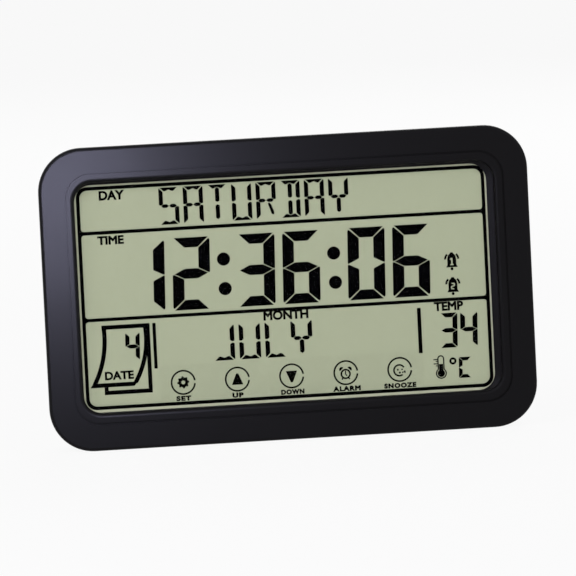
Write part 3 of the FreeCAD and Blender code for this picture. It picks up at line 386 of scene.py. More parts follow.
def even_film(name, base, cloud, roughness, cloud_mm, specular=0.5):
    """An even surface whose colour drifts between two close shades over cloud_mm."""
    material, tree = new_finish(name)
    place = add(tree, "ShaderNodeTexCoord").outputs["Object"]
    drift = add(tree, "ShaderNodeTexNoise", {
        "Vector": place, "Scale": 1000 / cloud_mm, "Detail": 4.0, "Roughness": 0.6,
    })
    colour = add(tree, "ShaderNodeMix", {
        MIX_SHARE: drift.outputs["Fac"], MIX_FIRST: linear(base), MIX_SECOND: linear(cloud),
    }, data_type="RGBA")
    skin = add(tree, "ShaderNodeBsdfPrincipled", {
        "Base Color": colour.outputs[MIX_RESULT], "Roughness": roughness,
        "IOR": 1.5, "Specular IOR Level": specular,
    })
    add(tree, "ShaderNodeOutputMaterial", {"Surface": skin.outputs[0]})
    return material


panel_film = even_film(
    "grey_green_panel_film", "#a0a68d", "#a3a990", roughness=0.6, cloud_mm=4.0, specular=0.05)
dress(panel_film, "front_polariser")
silver_film = even_film("silver_grey_reflector_film", "#b9bca8", "#c2c5b0", roughness=0.35, cloud_mm=3.0)
dress(silver_film, "rear_reflector")
print("films", panel_film.name, silver_film.name)

# %% [markdown]
# ## The parts inside
# Nobody sees these while the case is shut, but the door opens and the parts can be taken out of the
# model, so each one has the finish of the real thing. Plated steel and tinned cans shine in streaks along
# the way they were rolled or drawn, so their roughness follows a noise that is stretched one way.

# %% Metals


def plated(name, colour, roughness, brush_mm, stretch=(1.0, 1.0, 1.0)):
    """A plated metal whose scratches are long in the directions where stretch is small."""
    material, tree = new_finish(name)
    place = add(tree, "ShaderNodeTexCoord").outputs["Object"]
    run = add(tree, "ShaderNodeMapping", {"Vector": place, "Scale": stretch})
    brush = add(tree, "ShaderNodeTexNoise", {
        "Vector": run.outputs[0], "Scale": 1000 / brush_mm, "Detail": 3.0,
    })
    dull = add(tree, "ShaderNodeMapRange", {
        "Value": brush.outputs["Fac"], "To Min": roughness - 0.08, "To Max": roughness + 0.1,
    })
    bump = add(tree, "ShaderNodeBump", {
        "Height": brush.outputs["Fac"], "Strength": 0.3, "Distance": 0.01 * MM,
    })
    skin = add(tree, "ShaderNodeBsdfPrincipled", {
        "Base Color": linear(colour), "Metallic": 1.0,
        "Roughness": dull.outputs[0], "Normal": bump.outputs[0],
    })
    add(tree, "ShaderNodeOutputMaterial", {"Surface": skin.outputs[0]})
    return material


nickelled_steel = plated(
    "nickelled_spring_steel", "#c9c6bd", roughness=0.28, brush_mm=0.4, stretch=(1.0, 1.0, 0.15))
dress(nickelled_steel, "positive_contact", "negative_spring", "bridge_contact")
tinned_can = plated("tinned_can", "#cfd0cf", roughness=0.3, brush_mm=0.5, stretch=(1.0, 0.3, 1.0))
dress(tinned_can, "crystal_can")
zinc_plated_steel = plated("zinc_plated_screw_steel", "#a9abad", roughness=0.32, brush_mm=0.3)
dress(zinc_plated_steel, "case_screws", "holder_screws", "board_screws")
print("metals", nickelled_steel.name, tinned_can.name, zinc_plated_steel.name)

# %% [markdown]
# ## Board, tapes and wires
# The rest uses the recipes above. Green solder mask and the printed jackets of the cells are even and
# shiny, and so is the PVC round the wires. Poured epoxy has a soft gloss with slow waves in it, shrunk
# sleeves are smooth, ceramic chips are speckled, foam tape is quite dull, and the contact rubber has
# layers too fine to part, so it only wanders a little between its two pinks.

# %% Finishes of the parts inside
solder_mask = even_film("green_solder_mask", "#1f5a38", "#24643f", roughness=0.3, cloud_mm=2.0)
dress(solder_mask, "main_board")
# This dark epoxy finish is also used further down as painted shade in the screw recesses.
black_epoxy_and_recess_shade = moulded(
    "black_epoxy_blob_and_painted_recess_shade", "#131315", "#1a1a1c", roughness=0.22, grain_mm=1.2, depth_mm=0.03)
dress(black_epoxy_and_recess_shade, "controller_blob", "thermistor")
capacitor_sleeve = moulded(
    "shrunk_capacitor_sleeve", "#1d2b52", "#22325c", roughness=0.3, grain_mm=0.8, depth_mm=0.01)
dress(capacitor_sleeve, "board_capacitors")
resistor_ceramic = moulded(
    "resistor_ceramic", "#2b2723", "#d8d2c2", roughness=0.4, grain_mm=1.0, depth_mm=0.01)
dress(resistor_ceramic, "chip_resistors")
foam_tape = moulded(
    "black_foam_tape", "#2c2c2d", "#353536", roughness=0.85, grain_mm=0.3, depth_mm=0.05, specular=0.2)
dress(foam_tape, "lens_tape")
striped_rubber = even_film("pink_contact_rubber", "#c98d86", "#b97d78", roughness=0.6, cloud_mm=0.4)
dress(striped_rubber, "zebra_strip")
red_wire = even_film("red_pvc_wire", "#a3151a", "#b01b20", roughness=0.35, cloud_mm=3.0)
dress(red_wire, "power_wire_red")
black_wire = even_film("black_pvc_wire", "#161617", "#1f1f20", roughness=0.35, cloud_mm=3.0)
dress(black_wire, "power_wire_black")
cell_jacket = even_film("printed_cell_jacket", "#2f4f3f", "#35574a", roughness=0.25, cloud_mm=6.0)
dress(cell_jacket, "battery_cell_1", "battery_cell_2")
print("parts without a finish", sorted(set(frame["nodes"]) - dressed))

# %% [markdown]
# ## Drawing on the panel
# A liquid crystal display darkens in flat shapes: bars, lobes, rings and letters. Each could be a
# picture on the glass, but a picture blurs close up and has no edges. Here every shape is a flat
# outline with its corners rounded, drawn in face millimetres and then given a hair of thickness, just
# in front of the polariser, with a gap that keeps two faces from lying in one plane. The shapes were
# measured as they are seen on the face. The panel lies behind it and the camera looks down, so the
# sight lines meet the panel a little lower, and the whole drawing is lowered as much.

# %% Outlines in face millimetres
panel_front = (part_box("front_polariser")[0].y - FACE_MIDDLE.y) / MM
INK_THICK = 0.03
INK_GAP = 0.005
LOWERED = 0.3


def patch(bm, corners, rounding=0.0):
    """A flat face through the corners, which are then rounded."""
    face = bm.faces.new([bm.verts.new((x, z, 0.0)) for x, z in corners])
    if rounding:
        bmesh.ops.bevel(
            bm, geom=face.verts[:], offset=rounding, segments=3, profile=0.5,
            affect="VERTICES", material=-1)


def strip(bm, left, right, low, high, rounding=0.0):
    """An upright or level bar."""
    patch(bm, [(left, low), (right, low), (right, high), (left, high)], rounding)


def arc(bm, x, z, radius, line, start=0, sweep=360, steps=32):
    """A curved line round (x, z) from the start angle through the sweep, in degrees."""
    whole = abs(sweep) == 360
    ends = [Vector((radius + side * line / 2, 0.0, 0.0)) for side in (-1, 1)]
    turn = Matrix.Translation((x, z, 0.0)) @ Matrix.Rotation(math.radians(start), 4, "Z")
    edge = bm.edges.new([bm.verts.new(turn @ end) for end in ends])
    bmesh.ops.spin(
        bm, geom=[edge, *edge.verts], cent=(x, z, 0.0), axis=(0.0, 0.0, 1.0), dvec=(0.0, 0.0, 0.0),
        angle=math.radians(sweep), steps=steps, use_merge=whole, use_duplicate=False)


def disc(bm, x, z, radius, segments=32):
    """A round spot."""
    place = Matrix.Translation((x, z, 0.0))
    bmesh.ops.create_circle(bm, cap_ends=True, segments=segments, radius=radius, matrix=place)


print("panel front is", round(panel_front, 2), "mm behind the face")

# %% [markdown]
# ## From a drawing to a piece
# Every drawing ends the same way: its flat shapes get their thickness, a matrix puts them in their
# place, the faces are turned outwards, and the mesh becomes an object that rides with the case. A
# drawing on the panel is stood up first, because it was drawn lying down.

# %% Helpers that make pieces


def thicken(bm, step):
    """Gives the flat faces a thickness: step says how far and which way."""
    sheet = bmesh.ops.extrude_face_region(bm, geom=bm.faces[:])
    raised = [v for v in sheet["geom"] if isinstance(v, bmesh.types.BMVert)]
    bmesh.ops.translate(bm, verts=raised, vec=step)


def case_piece(name, bm, finish, place):
    """Moves the shapes by the matrix called place and makes a piece that rides with the case."""
    bmesh.ops.transform(bm, matrix=place, verts=bm.verts[:])
    bmesh.ops.recalc_face_normals(bm, faces=bm.faces[:])
    mesh = bpy.data.meshes.new(name)
    bm.to_mesh(mesh)
    bm.free()
    mesh.materials.append(finish)
    piece = bpy.data.objects.new(name, mesh)
    bpy.context.scene.collection.objects.link(piece)
    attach(piece, "root")
    print(name, "has", len(mesh.polygons), "faces")
    return piece


def put_on_panel(name, bm, finish, lift=0.0, thick=INK_THICK):
    """Stands a drawing on the panel, in front of others by lift. One that is solid already has thick 0."""
    if thick:
        thicken(bm, (0.0, 0.0, thick))
    stand_up = Matrix.Rotation(math.radians(90), 4, "X")
    panel_place = on_face(0, -LOWERED, panel_front - INK_GAP - lift)
    piece = case_piece(name, bm, finish, Matrix.Translation(panel_place) @ Matrix.Scale(MM, 4) @ stand_up)


# %% The display's dark and pale shades
crystal_black = even_film(
    "darkened_liquid_crystal", "#010102", "#030304", roughness=0.6, cloud_mm=6.0, specular=0.0)
line_black = even_film("printed_key_line", "#060605", "#0a0a08", roughness=0.6, cloud_mm=3.0, specular=0.0)
pale_margin = even_film(
    "pale_display_margin", "#b9bca4", "#c0c3ab", roughness=0.6, cloud_mm=4.0, specular=0.05)
pale_spot = even_film("undarkened_spot", "#a0a68d", "#a3a990", roughness=0.6, cloud_mm=4.0, specular=0.05)
print("shades", [m.name for m in (crystal_black, line_black, pale_margin, pale_spot)])

# %% [markdown]
# ## The frame on the panel
# A black line runs round the panel and divides it into three fields: the weekday, the time, and the
# rest. The fields have round corners, large ones at the outside and small ones at the dividing lines.
# Three holes in one plate are made by drawing four rounded loops and letting triangle_fill close the
# space between them.

# %% Black frame with three fields
FRAME_LEFT, FRAME_RIGHT, FRAME_LOW, FRAME_HIGH = -97.35, 94.95, -52.05, 52.75
LINE = 1.65
WEEKDAY_LOW, TIME_HIGH, TIME_LOW, REST_HIGH = 31.8, 30.15, -9.0, -10.6
OUTSIDE, LARGE, SMALL = 5.0, 3.7, 1.4


def rounded_loop(bm, left, right, low, high, radii):
    """The edges of a rectangle with these corner radii, from the lower left round to the upper left."""
    corners = ((left, low), (right, low), (right, high), (left, high))
    face = bm.faces.new([bm.verts.new((x, z, 0.0)) for x, z in corners])
    for corner, radius in zip(face.verts[:], radii):
        bmesh.ops.bevel(
            bm, geom=[corner], offset=radius, segments=8, profile=0.5, affect="VERTICES", material=-1)
    bmesh.ops.delete(bm, geom=bm.faces[:], context="FACES_ONLY")


bm = bmesh.new()
rounded_loop(bm, FRAME_LEFT, FRAME_RIGHT, FRAME_LOW, FRAME_HIGH, (OUTSIDE,) * 4)
for low, high, radii in (
    (WEEKDAY_LOW, FRAME_HIGH - LINE, (SMALL, SMALL, LARGE, LARGE)),
    (TIME_LOW, TIME_HIGH, (SMALL,) * 4),
    (FRAME_LOW + LINE, REST_HIGH, (LARGE, LARGE, SMALL, SMALL)),
):
    rounded_loop(bm, FRAME_LEFT + LINE, FRAME_RIGHT - LINE, low, high, radii)
bmesh.ops.triangle_fill(bm, use_beauty=True, edges=bm.edges[:])
put_on_panel("display_frame_line", bm, crystal_black)

# %% Pale margin outside the frame
FILM_CORNER = 0.5
MARGIN_THICK = 0.01
film_low, film_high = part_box("front_polariser")
edge_left, edge_right = ((x - FACE_MIDDLE.x) / MM for x in (film_low.x, film_high.x))
edge_low, edge_high = ((z - FACE_MIDDLE.z) / MM for z in (film_low.z, film_high.z))
bm = bmesh.new()
rounded_loop(bm, edge_left, edge_right, edge_low + LOWERED, edge_high + LOWERED, (FILM_CORNER,) * 4)
rounded_loop(bm, FRAME_LEFT, FRAME_RIGHT, FRAME_LOW, FRAME_HIGH, (OUTSIDE,) * 4)
bmesh.ops.triangle_fill(bm, use_beauty=True, edges=bm.edges[:])
put_on_panel("display_margin", bm, pale_margin, thick=MARGIN_THICK)

# %% [markdown]
# ## Numbers from seven bars
# The time, the date and the temperature are made of seven bars with slanted ends, parted by thin pale
# lines. All sizes are the same drawing with other widths, so one function draws a number in a cell: one
# bar of each kind is written down, and the others are its mirror images. The number is then sheared by a
# degree or two, because this display's numbers lean to the right. A cell says how low it stands, how
# wide and high it is, how thick its upright and its level bars are, and how wide the pale lines are.

# %% Seven-bar numbers
BARS_LIT = {
    "0": "top bottom left_up left_low right_up right_low", "1": "right_up right_low",
    "2": "top right_up middle left_low bottom", "3": "top right_up middle right_low bottom",
    "4": "left_up right_up middle right_low", "6": "top left_up middle left_low right_low bottom",
    "C": "top left_up left_low bottom",
}
LEAN = math.tan(math.radians(1.7))


def number(bm, sign, left, low, wide, high, side, flat, gap, lean=LEAN):
    """Draws one number: side and flat are how thick the upright and the level bars are."""
    half = high / 2
    seam, edge, tip, point = gap * 0.7, gap * 1.6, gap * 2.2, gap * 2.6
    near = side + seam
    top = [(tip, high), (wide - tip, high), (wide - near, high - flat), (near, high - flat)]
    middle = [
        (point, half), (near, half - flat / 2), (wide - near, half - flat / 2),
        (wide - point, half), (wide - near, half + flat / 2), (near, half + flat / 2),
    ]
    right_up = [
        (wide - edge, high - gap * 2), (wide - side, high - flat - seam),
        (wide - side, half + flat / 2 + seam), (wide - edge, half + gap * 0.5),
        (wide, half + gap), (wide, high - gap * 4),
    ]
    shapes = {"top": top, "middle": middle, "right_up": right_up}
    shapes["bottom"] = [(x, high - z) for x, z in top]
    shapes["right_low"] = [(x, high - z) for x, z in right_up]
    shapes["left_up"] = [(wide - x, z) for x, z in right_up]
    shapes["left_low"] = [(wide - x, high - z) for x, z in right_up]
    rounding = gap * 0.75
    for bar in BARS_LIT[sign].split():
        patch(bm, [(left + x + (z - half) * lean, low + z) for x, z in shapes[bar]], rounding)


print("signs of seven bars", " ".join(BARS_LIT))


# %% The time
TIME_CELL = {"low": -7.5, "wide": 17.6, "high": 34.0, "side": 5.4, "flat": 4.7, "gap": 0.36}
COLON_RADIUS = 3.1
bm = bmesh.new()
for sign, centre in (("1", -66.3), ("2", -45.0), ("3", -14.4), ("6", 6.8), ("0", 37.5), ("6", 58.7)):
    number(bm, sign, centre - TIME_CELL["wide"] / 2, **TIME_CELL)
for x, z in ((-29.6, 15.4), (-29.5, 1.5), (22.3, 15.2), (22.5, 1.4)):
    disc(bm, x, z, COLON_RADIUS, segments=48)
put_on_panel("time_reading", bm, crystal_black)

# %% The temperature and the date
DEGREES_CELL = {"low": -32.5, "wide": 8.2, "high": 16.4, "side": 2.35, "flat": 2.1, "gap": 0.2}
CELSIUS_CELL = {"low": -47.1, "wide": 5.9, "high": 9.8, "side": 1.75, "flat": 1.65, "gap": 0.12}
DATE_CELL = {"low": -29.7, "wide": 6.8, "high": 13.2, "side": 2.0, "flat": 1.85, "gap": 0.18}
bm = bmesh.new()
number(bm, "3", 70.8, **DEGREES_CELL)
number(bm, "4", 80.3, **DEGREES_CELL)
number(bm, "C", 78.8, **CELSIUS_CELL)
arc(bm, 76.1, -38.9, radius=1.2, line=1.0)
put_on_panel("temperature_reading", bm, crystal_black)
bm = bmesh.new()
number(bm, "4", -77.7, **DATE_CELL)
put_on_panel("date_reading", bm, crystal_black)

# %% [markdown]
# ## Letters from many bars
# The weekday and the month are spelled with star-shaped cells: uprights at the sides and in the middle,
# level bars that swell into two lobes, and a slanting leg. Again one function draws a letter, and a
# table says which bars it lights. The bars' corners were measured on a letter whose stroke is 1.65 mm
# wide, and they grow or shrink with the stroke.

# %% Star-cell letters
STAR_LIT = {
    "S": "top left_up lobes right_low bottom", "A": "top left_up left_low right_up right_low lobes",
    "T": "top stem_up stem_low", "U": "left_up left_low right_up right_low bottom",
    "R": "top left_up left_low right_up lobes leg", "D": "top bottom stem_up stem_low right_up right_low",
    "Y": "left_up right_up lobes stem_low", "J": "right_up right_low bottom",
    "L": "left_up left_low bottom",
}
MEASURED_STROKE = 1.65


def letter(bm, sign, left, low, wide, high, stroke):
    """Draws one letter in a cell whose outer corner is (left, low)."""
    half, unit, mid = high / 2, stroke / MEASURED_STROKE, wide / 2
    left_up = [
        (0.0, high - 0.6 * unit), (0.22 * unit, high - 0.22 * unit), (stroke, high - 1.65 * unit),
        (stroke, half + 0.8 * unit), (0.75 * unit, half + 0.2 * unit), (0.0, half + 0.45 * unit),
    ]
    top = [
        (0.5 * unit, high), (wide - 0.5 * unit, high), (wide - 1.95 * unit, high - 1.4 * unit),
        (mid + 1.5 * unit, high - 1.5 * unit), (mid + 0.7 * unit, high - 1.2 * unit),
        (mid, high - 0.85 * unit),
        (mid - 0.7 * unit, high - 1.2 * unit), (mid - 1.5 * unit, high - 1.5 * unit),
        (1.95 * unit, high - 1.4 * unit),
    ]
    lobe = [
        (0.85 * unit, half), (1.55 * unit, half - 0.7 * unit), (mid - 0.85 * unit, half - 0.7 * unit),
        (mid, half), (mid - 0.85 * unit, half + 0.7 * unit), (1.55 * unit, half + 0.7 * unit),
    ]
    stem_up = [
        (mid - stroke / 2, high - 1.6 * unit), (mid, high - 0.95 * unit),
        (mid + stroke / 2, high - 1.6 * unit), (mid + stroke / 2, half + 0.9 * unit),
        (mid, half + 0.45 * unit), (mid - stroke / 2, half + 0.9 * unit),
    ]
    leg = [
        (mid + 0.6 * unit, half - 1.2 * unit), (mid + 1.3 * unit, half - 0.9 * unit),
        (mid + 1.95 * unit, half - 1.7 * unit), (mid + 3.0 * unit, 2.6 * unit),
        (mid + 2.9 * unit, 1.5 * unit), (mid + 2.0 * unit, 1.8 * unit),
    ]
    shapes = {"top": [top], "left_up": [left_up], "stem_up": [stem_up], "leg": [leg]}
    shapes["lobes"] = [lobe, [(wide - x, z) for x, z in lobe]]
    shapes["bottom"] = [[(x, high - z) for x, z in top]]
    shapes["stem_low"] = [[(x, high - z) for x, z in stem_up]]
    shapes["left_low"] = [[(x, high - z) for x, z in left_up]]
    shapes["right_up"] = [[(wide - x, z) for x, z in left_up]]
    shapes["right_low"] = [[(wide - x, high - z) for x, z in left_up]]
    rounding = 0.16 * unit
    for bar in STAR_LIT[sign].split():
        for shape in shapes[bar]:
            patch(bm, [(left + x, low + z) for x, z in shape], rounding)


print("letters of many bars", " ".join(STAR_LIT))


# %% The weekday and the month
WEEKDAY_CELL = {"low": 33.1, "wide": 9.4, "high": 17.4, "stroke": 2.0}
MONTH_CELL = {"low": -32.2, "wide": 10.1, "high": 16.9, "stroke": 2.15}
for name, reading, first, step, cell in (
    ("weekday_reading", "SATURDAY", -58.6, 11.4, WEEKDAY_CELL),
    ("month_reading", "JULY", -36.45, 12.25, MONTH_CELL),
):
    bm = bmesh.new()
    for place, sign in enumerate(reading):
        letter(bm, sign, first + place * step, **cell)
    put_on_panel(name, bm, crystal_black)

# %% [markdown]
# ## Words on the panel
# Plain words name each field and each key. They are text objects with Blender's own letters, because a
# word made of text can be read and changed, which is why it isn't drawn bar by bar. The text's bevel
# widens every stroke by a weight and gives the word a thickness. Each word is then a mesh, stretched to
# the box that was measured for it. The points that its front, sides and back share are merged at the end.

# %% Field names and key names
FIELD_WEIGHT, KEY_WEIGHT, KEY_SPACING = 0.045, 0.068, 1.2
KEY_NAME_LOW, KEY_NAME_HIGH = -50.1, -47.7
MERGE_WITHIN = 0.0001


def word(bm, text, left, right, low, high, weight, spacing=1.0):
    """Adds a solid word that fills the box from (left, low) to (right, high)."""
    curve = bpy.data.curves.new("word", "FONT")
    curve.body = text
    curve.bevel_depth = weight
    curve.bevel_resolution = 0
    curve.space_character = spacing
    curve.resolution_u = 4
    holder = bpy.data.objects.new("word", curve)
    solid = bpy.data.meshes.new_from_object(holder)
    near = [min(v.co[axis] for v in solid.vertices) for axis in range(3)]
    far = [max(v.co[axis] for v in solid.vertices) for axis in range(3)]
    wanted = (right - left, high - low, INK_THICK)
    stretch = [want / (end - start) for want, start, end in zip(wanted, near, far)]
    place = Matrix.Translation((left, low, 0.0)) @ Matrix.Diagonal((*stretch, 1.0))
    solid.transform(place @ Matrix.Translation([-n for n in near]))
    bm.from_mesh(solid)
    for store, made in ((bpy.data.objects, holder), (bpy.data.curves, curve), (bpy.data.meshes, solid)):
        store.remove(made)


bm = bmesh.new()
for text, left, right, low, high in (
    ("DAY", -86.6, -74.6, 46.1, 50.6), ("TIME", -88.3, -75.9, 25.3, 29.4),
    ("MONTH", -12.2, 9.0, -14.7, -10.2), ("TEMP", 68.3, 82.2, -15.0, -10.7),
    ("DATE", -88.0, -74.4, -38.3, -34.3),
):
    word(bm, text, left, right, low, high, FIELD_WEIGHT)
for text, left, right in (
    ("SET", -55.0, -48.0), ("UP", -28.6, -23.3), ("DOWN", -5.6, 5.4), ("ALARM", 18.9, 32.0),
    ("SNOOZE", 43.1, 58.3),
):
    word(bm, text, left, right, KEY_NAME_LOW, KEY_NAME_HIGH, KEY_WEIGHT, KEY_SPACING)
bmesh.ops.remove_doubles(bm, verts=bm.verts[:], dist=MERGE_WITHIN)
put_on_panel("panel_words", bm, crystal_black, thick=0.0)

# %% [markdown]
# ## The calendar leaf
# The date stands on a sheet of a tear-off calendar whose lower edge curls forward. Straight edges are
# bars. The two curled edges are arcs of large circles, so a short line is spun through a few degrees.
# Two more bars part the date, the month and the temperature.

# %% Calendar leaf and field bars
CURL_LINE, CURL_STEPS = 2.05, 16
DIVIDER_ROUNDING = 0.3
bm = bmesh.new()
for left, right, low, high in (
    (-88.5, -65.85, -14.55, -12.55), (-67.75, -65.85, -45.25, -14.55),
    (-88.45, -67.75, -45.25, -43.25), (-88.45, -86.55, -43.25, -41.6),
):
    strip(bm, left, right, low, high)
patch(bm, [(-95.05, -41.65), (-74.25, -41.65), (-72.8, -39.65), (-93.7, -39.65)])
arc(bm, -133.15, -18.0, radius=45.9, line=CURL_LINE, start=4.5, sweep=-33.5, steps=CURL_STEPS)
arc(bm, -107.95, -19.0, radius=40.2, line=CURL_LINE, start=6.6, sweep=-38.2, steps=CURL_STEPS)
strip(bm, -64.6, -63.0, -34.15, -12.65, DIVIDER_ROUNDING)
strip(bm, 60.25, 62.05, -34.35, -12.95, DIVIDER_ROUNDING)
put_on_panel("calendar_leaf", bm, crystal_black)

# %% [markdown]
# ## Signs for the alarms and the temperature
# Two bells, numbered 1 and 2, say which alarm is set, and a small thermometer stands beside the degrees.
# They are built from the same outlines, arcs and spots. One half of a bell is written down and the other
# is its mirror image. A number in a bell is pale on dark, so it lies one hair in front of the bell.

# %% Alarm bells
BELL_X, CLAPPER_X = 77.8, 77.75
BELL_ROUNDING = 0.15
HALF_BELL = [(2.75, 1.1), (2.1, 2.3), (2.1, 5.2), (1.7, 6.7), (0.8, 7.6), (0.6, 8.1)]
BELL_NUMBER_CELL = {
    "low": -5.1, "wide": 1.8, "high": 3.0, "side": 0.55, "flat": 0.5, "gap": 0.05, "lean": 0.0,
}
outline = HALF_BELL + [(-x, z) for x, z in reversed(HALF_BELL)]
bm = bmesh.new()
for foot in (4.2, -7.5):
    patch(bm, [(BELL_X + x, foot + z) for x, z in outline], BELL_ROUNDING)
    disc(bm, CLAPPER_X, foot + 0.35, radius=0.7, segments=16)
    for start in (132.0, 0.0):
        arc(bm, BELL_X, foot + 4.9, radius=3.1, line=0.95, start=start, sweep=48, steps=8)
put_on_panel("alarm_bells", bm, crystal_black)
bm = bmesh.new()
strip(bm, 77.5, 78.15, 6.5, 9.7)
patch(bm, [(77.5, 9.7), (77.5, 9.0), (76.9, 8.8), (76.9, 9.2)])
strip(bm, 77.0, 78.6, 6.3, 6.75)
number(bm, "2", 76.9, **BELL_NUMBER_CELL)
put_on_panel("alarm_numbers", bm, pale_spot, lift=INK_THICK)

# %% Thermometer
TUBE_X, TUBE_LINE = 70.4, 0.6
TUBE_TOP, TUBE_FOOT, BULB_Z = -37.5, -42.7, -44.4
MARK_HALF = 0.25
bm = bmesh.new()
arc(bm, TUBE_X, TUBE_TOP, radius=1.35, line=TUBE_LINE, sweep=180, steps=12)
strip(bm, 68.75, 69.35, TUBE_FOOT, TUBE_TOP)
strip(bm, 71.45, 72.05, TUBE_FOOT, TUBE_TOP)
arc(bm, TUBE_X, BULB_Z, radius=2.3, line=TUBE_LINE, start=130, sweep=280, steps=24)
disc(bm, TUBE_X, BULB_Z, radius=1.75)
strip(bm, 69.45, 71.35, -43.8, -40.0)
for z, left in ((-37.8, 66.9), (-38.7, 68.0), (-39.8, 66.9), (-40.8, 68.0)):
    strip(bm, left, 68.75, z - MARK_HALF, z + MARK_HALF)
put_on_panel("thermometer_sign", bm, crystal_black)

# %% [markdown]
# ## The touch keys
# Five keys are printed as fine rings, each with a small opening at its right and a sign in the middle: a
# gear, two arrows, an alarm clock, and an open ring with dots for a doze. A gear is a circle with every
# second pair of its points pushed out.

# %% Key rings
KEY_X = (-51.4, -25.9, -0.3, 25.3, 50.8)
KEY_Z = -41.4
RING_RADIUS, RING_LINE = 5.5, 0.8
bm = bmesh.new()
for x in KEY_X:
    arc(bm, x, KEY_Z, RING_RADIUS, RING_LINE, start=7, sweep=346, steps=64)
print("key rings", len(KEY_X))

# %% Gear
GEAR_RADIUS, TOOTH_REACH, GEAR_HOLE = 2.3, 1.25, 0.9
hub = Vector((KEY_X[0], KEY_Z, 0.0))
at_hub = Matrix.Translation(hub)
rim = bmesh.ops.create_circle(bm, cap_ends=False, segments=32, radius=GEAR_RADIUS, matrix=at_hub)["verts"]
for place, point in enumerate(rim):
    if place % 4 < 2:
        point.co = hub + (point.co - hub) * TOOTH_REACH
bmesh.ops.create_circle(bm, cap_ends=False, segments=32, radius=GEAR_HOLE, matrix=at_hub)
bmesh.ops.bridge_loops(bm, edges=[e for e in bm.edges if e.is_wire])
print("gear with", len(rim) // 4, "teeth")

# %% Arrows, alarm clock and doze
ARROW_UP = ((-2.7, -44.0), (2.7, -44.0), (0.5, -38.7), (-0.5, -38.7))
ARROW_DOWN = ((-2.7, -39.0), (-0.5, -44.4), (0.5, -44.4), (2.7, -39.0))
ARROW_ROUNDING = 0.3
for middle, corners in ((KEY_X[1], ARROW_UP), (KEY_X[2], ARROW_DOWN)):
    patch(bm, [(middle + x, z) for x, z in corners], ARROW_ROUNDING)
ALARM_X, ALARM_Z = 25.2, -42.0
ALARM_LEG = ((1.0, -43.8), (1.5, -43.4), (2.1, -44.5), (1.5, -44.7))
BELL_OUT, BELL_Z = 1.8, -39.8
arc(bm, ALARM_X, ALARM_Z, radius=2.05, line=RING_LINE)
for side, start in ((-1, 45), (1, -45)):
    arc(bm, ALARM_X + side * BELL_OUT, BELL_Z, radius=0.6, line=1.2, start=start, sweep=180, steps=8)
    patch(bm, [(ALARM_X + side * x, z) for x, z in ALARM_LEG])
strip(bm, 24.9, 25.4, -42.3, -40.5)
patch(bm, [(24.9, -42.3), (25.7, -43.1), (26.0, -42.7), (25.4, -42.0)])
DOZE_X, DOZE_Z = 50.6, -41.8
arc(bm, DOZE_X, DOZE_Z, radius=2.55, line=RING_LINE, start=30, sweep=275)
for x, z, radius in (
    (49.9, -41.5, 0.45), (51.9, -41.4, 0.4), (50.8, -42.9, 0.5),
    (52.2, -42.8, 0.4), (53.1, -42.4, 0.45), (53.2, -42.8, 0.4),
):
    disc(bm, x, z, radius, segments=12)
put_on_panel("key_rings", bm, line_black)

# %% [markdown]
# ## Springs, and painted shade in the screw heads
# The solid part keeps the space of each coil spring and leaves its wire to this script. A spring is a
# small circle that is spun round the cell's axis and moves a little along it with each step. The plate
# behind it, and the solder tag that one of the two has, are drawn again with it, so that each contact is
# one piece. The cross recess of a case screw sits in shade in a deep well and is not cut; a thin black
# cross on each head is painted shade in its place.

# %% Helpers for small metal parts
TO_METRES = Matrix.Scale(MM, 4)
STEPS_A_TURN = 24


def slab(bm, low, high, rounding):
    """A thin plate between two corners in millimetres, with its edges broken."""
    corners = bmesh.ops.create_cube(bm, size=1.0)["verts"]
    middle = [(a + b) / 2 for a, b in zip(low, high)]
    lengths = [b - a for a, b in zip(low, high)]
    place = Matrix.Translation(middle) @ Matrix.Diagonal((*lengths, 1.0))
    bmesh.ops.transform(bm, matrix=place, verts=corners)
    edges = list({edge for corner in corners for edge in corner.link_edges})
    bmesh.ops.bevel(bm, geom=edges, offset=rounding, segments=2, profile=0.5, affect="EDGES", material=-1)


def coil(bm, plate, way, middle, length, radius, wire, turns):
    """A spring from the plate at x: way is 1 or -1 for right or left, middle is its axis in y and z."""
    steps = turns * STEPS_A_TURN
    run = length - wire
    start = Matrix.Translation((plate + way * wire / 2, middle[0] + radius, middle[1]))
    ring = bmesh.ops.create_circle(bm, cap_ends=True, segments=8, radius=wire / 2, matrix=start)["verts"]
    face = ring[0].link_faces[0]
    bmesh.ops.spin(
        bm, geom=[face, *face.edges, *face.verts], cent=(plate, *middle), axis=(1.0, 0.0, 0.0),
        dvec=(way * run / steps, 0.0, 0.0), angle=math.radians(360 * turns), steps=steps,
        use_merge=False, use_duplicate=False)


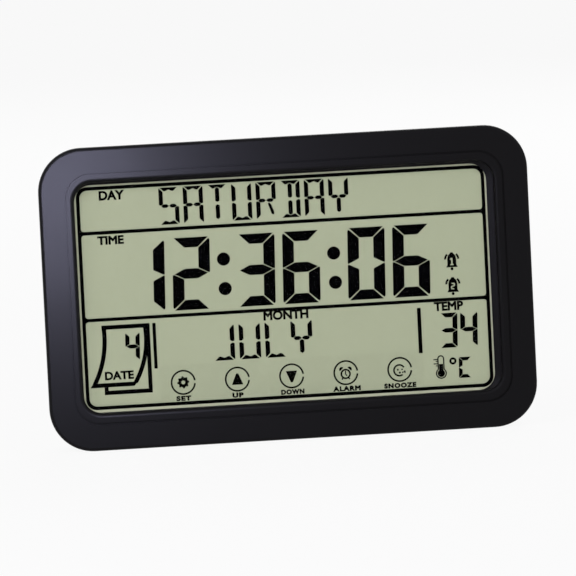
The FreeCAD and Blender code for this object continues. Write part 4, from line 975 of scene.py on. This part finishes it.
# %% The two sprung contacts
PLATE, TAG_HALF, BREAK = 0.4, 1.8, 0.08
WIRE, COIL_RADIUS, TURNS = 0.9, 3.1, 4
low, high = (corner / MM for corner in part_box("negative_spring"))
CELL_Y, CELL_LOW = (low.y + high.y) / 2, (low.z + high.z) / 2
near_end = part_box("battery_cell_1")[0].x / MM
tag_low = (low.x, CELL_Y - TAG_HALF, CELL_LOW - PLATE / 2)
tag_high = (near_end - PLATE / 2, CELL_Y + TAG_HALF, CELL_LOW + PLATE / 2)
bm = bmesh.new()
slab(bm, (near_end - PLATE, low.y, low.z), (near_end, high.y, high.z), BREAK)
slab(bm, tag_low, tag_high, BREAK)
coil(bm, near_end, 1, (CELL_Y, CELL_LOW), high.x - near_end, COIL_RADIUS, WIRE, TURNS)
spring = case_piece("negative_coil_spring", bm, nickelled_steel, TO_METRES)
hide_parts("negative_spring")
low, high = (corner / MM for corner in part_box("bridge_contact"))
CELL_HIGH = low.z + high.z - CELL_LOW
far_end = high.x - PLATE
bm = bmesh.new()
slab(bm, (far_end, low.y, low.z), (high.x, high.y, high.z), BREAK)
coil(bm, far_end, -1, (CELL_Y, CELL_HIGH), far_end - low.x, COIL_RADIUS, WIRE, TURNS)
spring = case_piece("bridge_coil_spring", bm, nickelled_steel, TO_METRES)
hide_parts("bridge_contact")
print("springs on the axis at", round(CELL_Y, 2), round(CELL_LOW, 2), round(CELL_HIGH, 2))

# %% Painted shade in the cross recesses of the case screws
SCREW_X, SCREW_Z = (-106.2, 106.2), (24.0, 71.2, 118.4)
ARM, BLADE = 1.6, 0.35
QUARTER = ((ARM, BLADE), (ARM, -BLADE), (BLADE, -BLADE))
head_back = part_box("case_screws")[1].y / MM
cross = []
for turn in range(4):
    spin = Matrix.Rotation(math.radians(-90 * turn), 2)
    cross += [spin @ Vector(corner) for corner in QUARTER]
bm = bmesh.new()
for x in SCREW_X:
    for z in SCREW_Z:
        bm.faces.new([bm.verts.new((x + v.x, head_back, z + v.y)) for v in cross])
thicken(bm, (0.0, INK_THICK, 0.0))
# The black crosses are painted shade for the recesses, in the dark epoxy finish.
screw_recess_painted_shade = case_piece("case_screw_painted_recess_shade", bm, black_epoxy_and_recess_shade, TO_METRES)
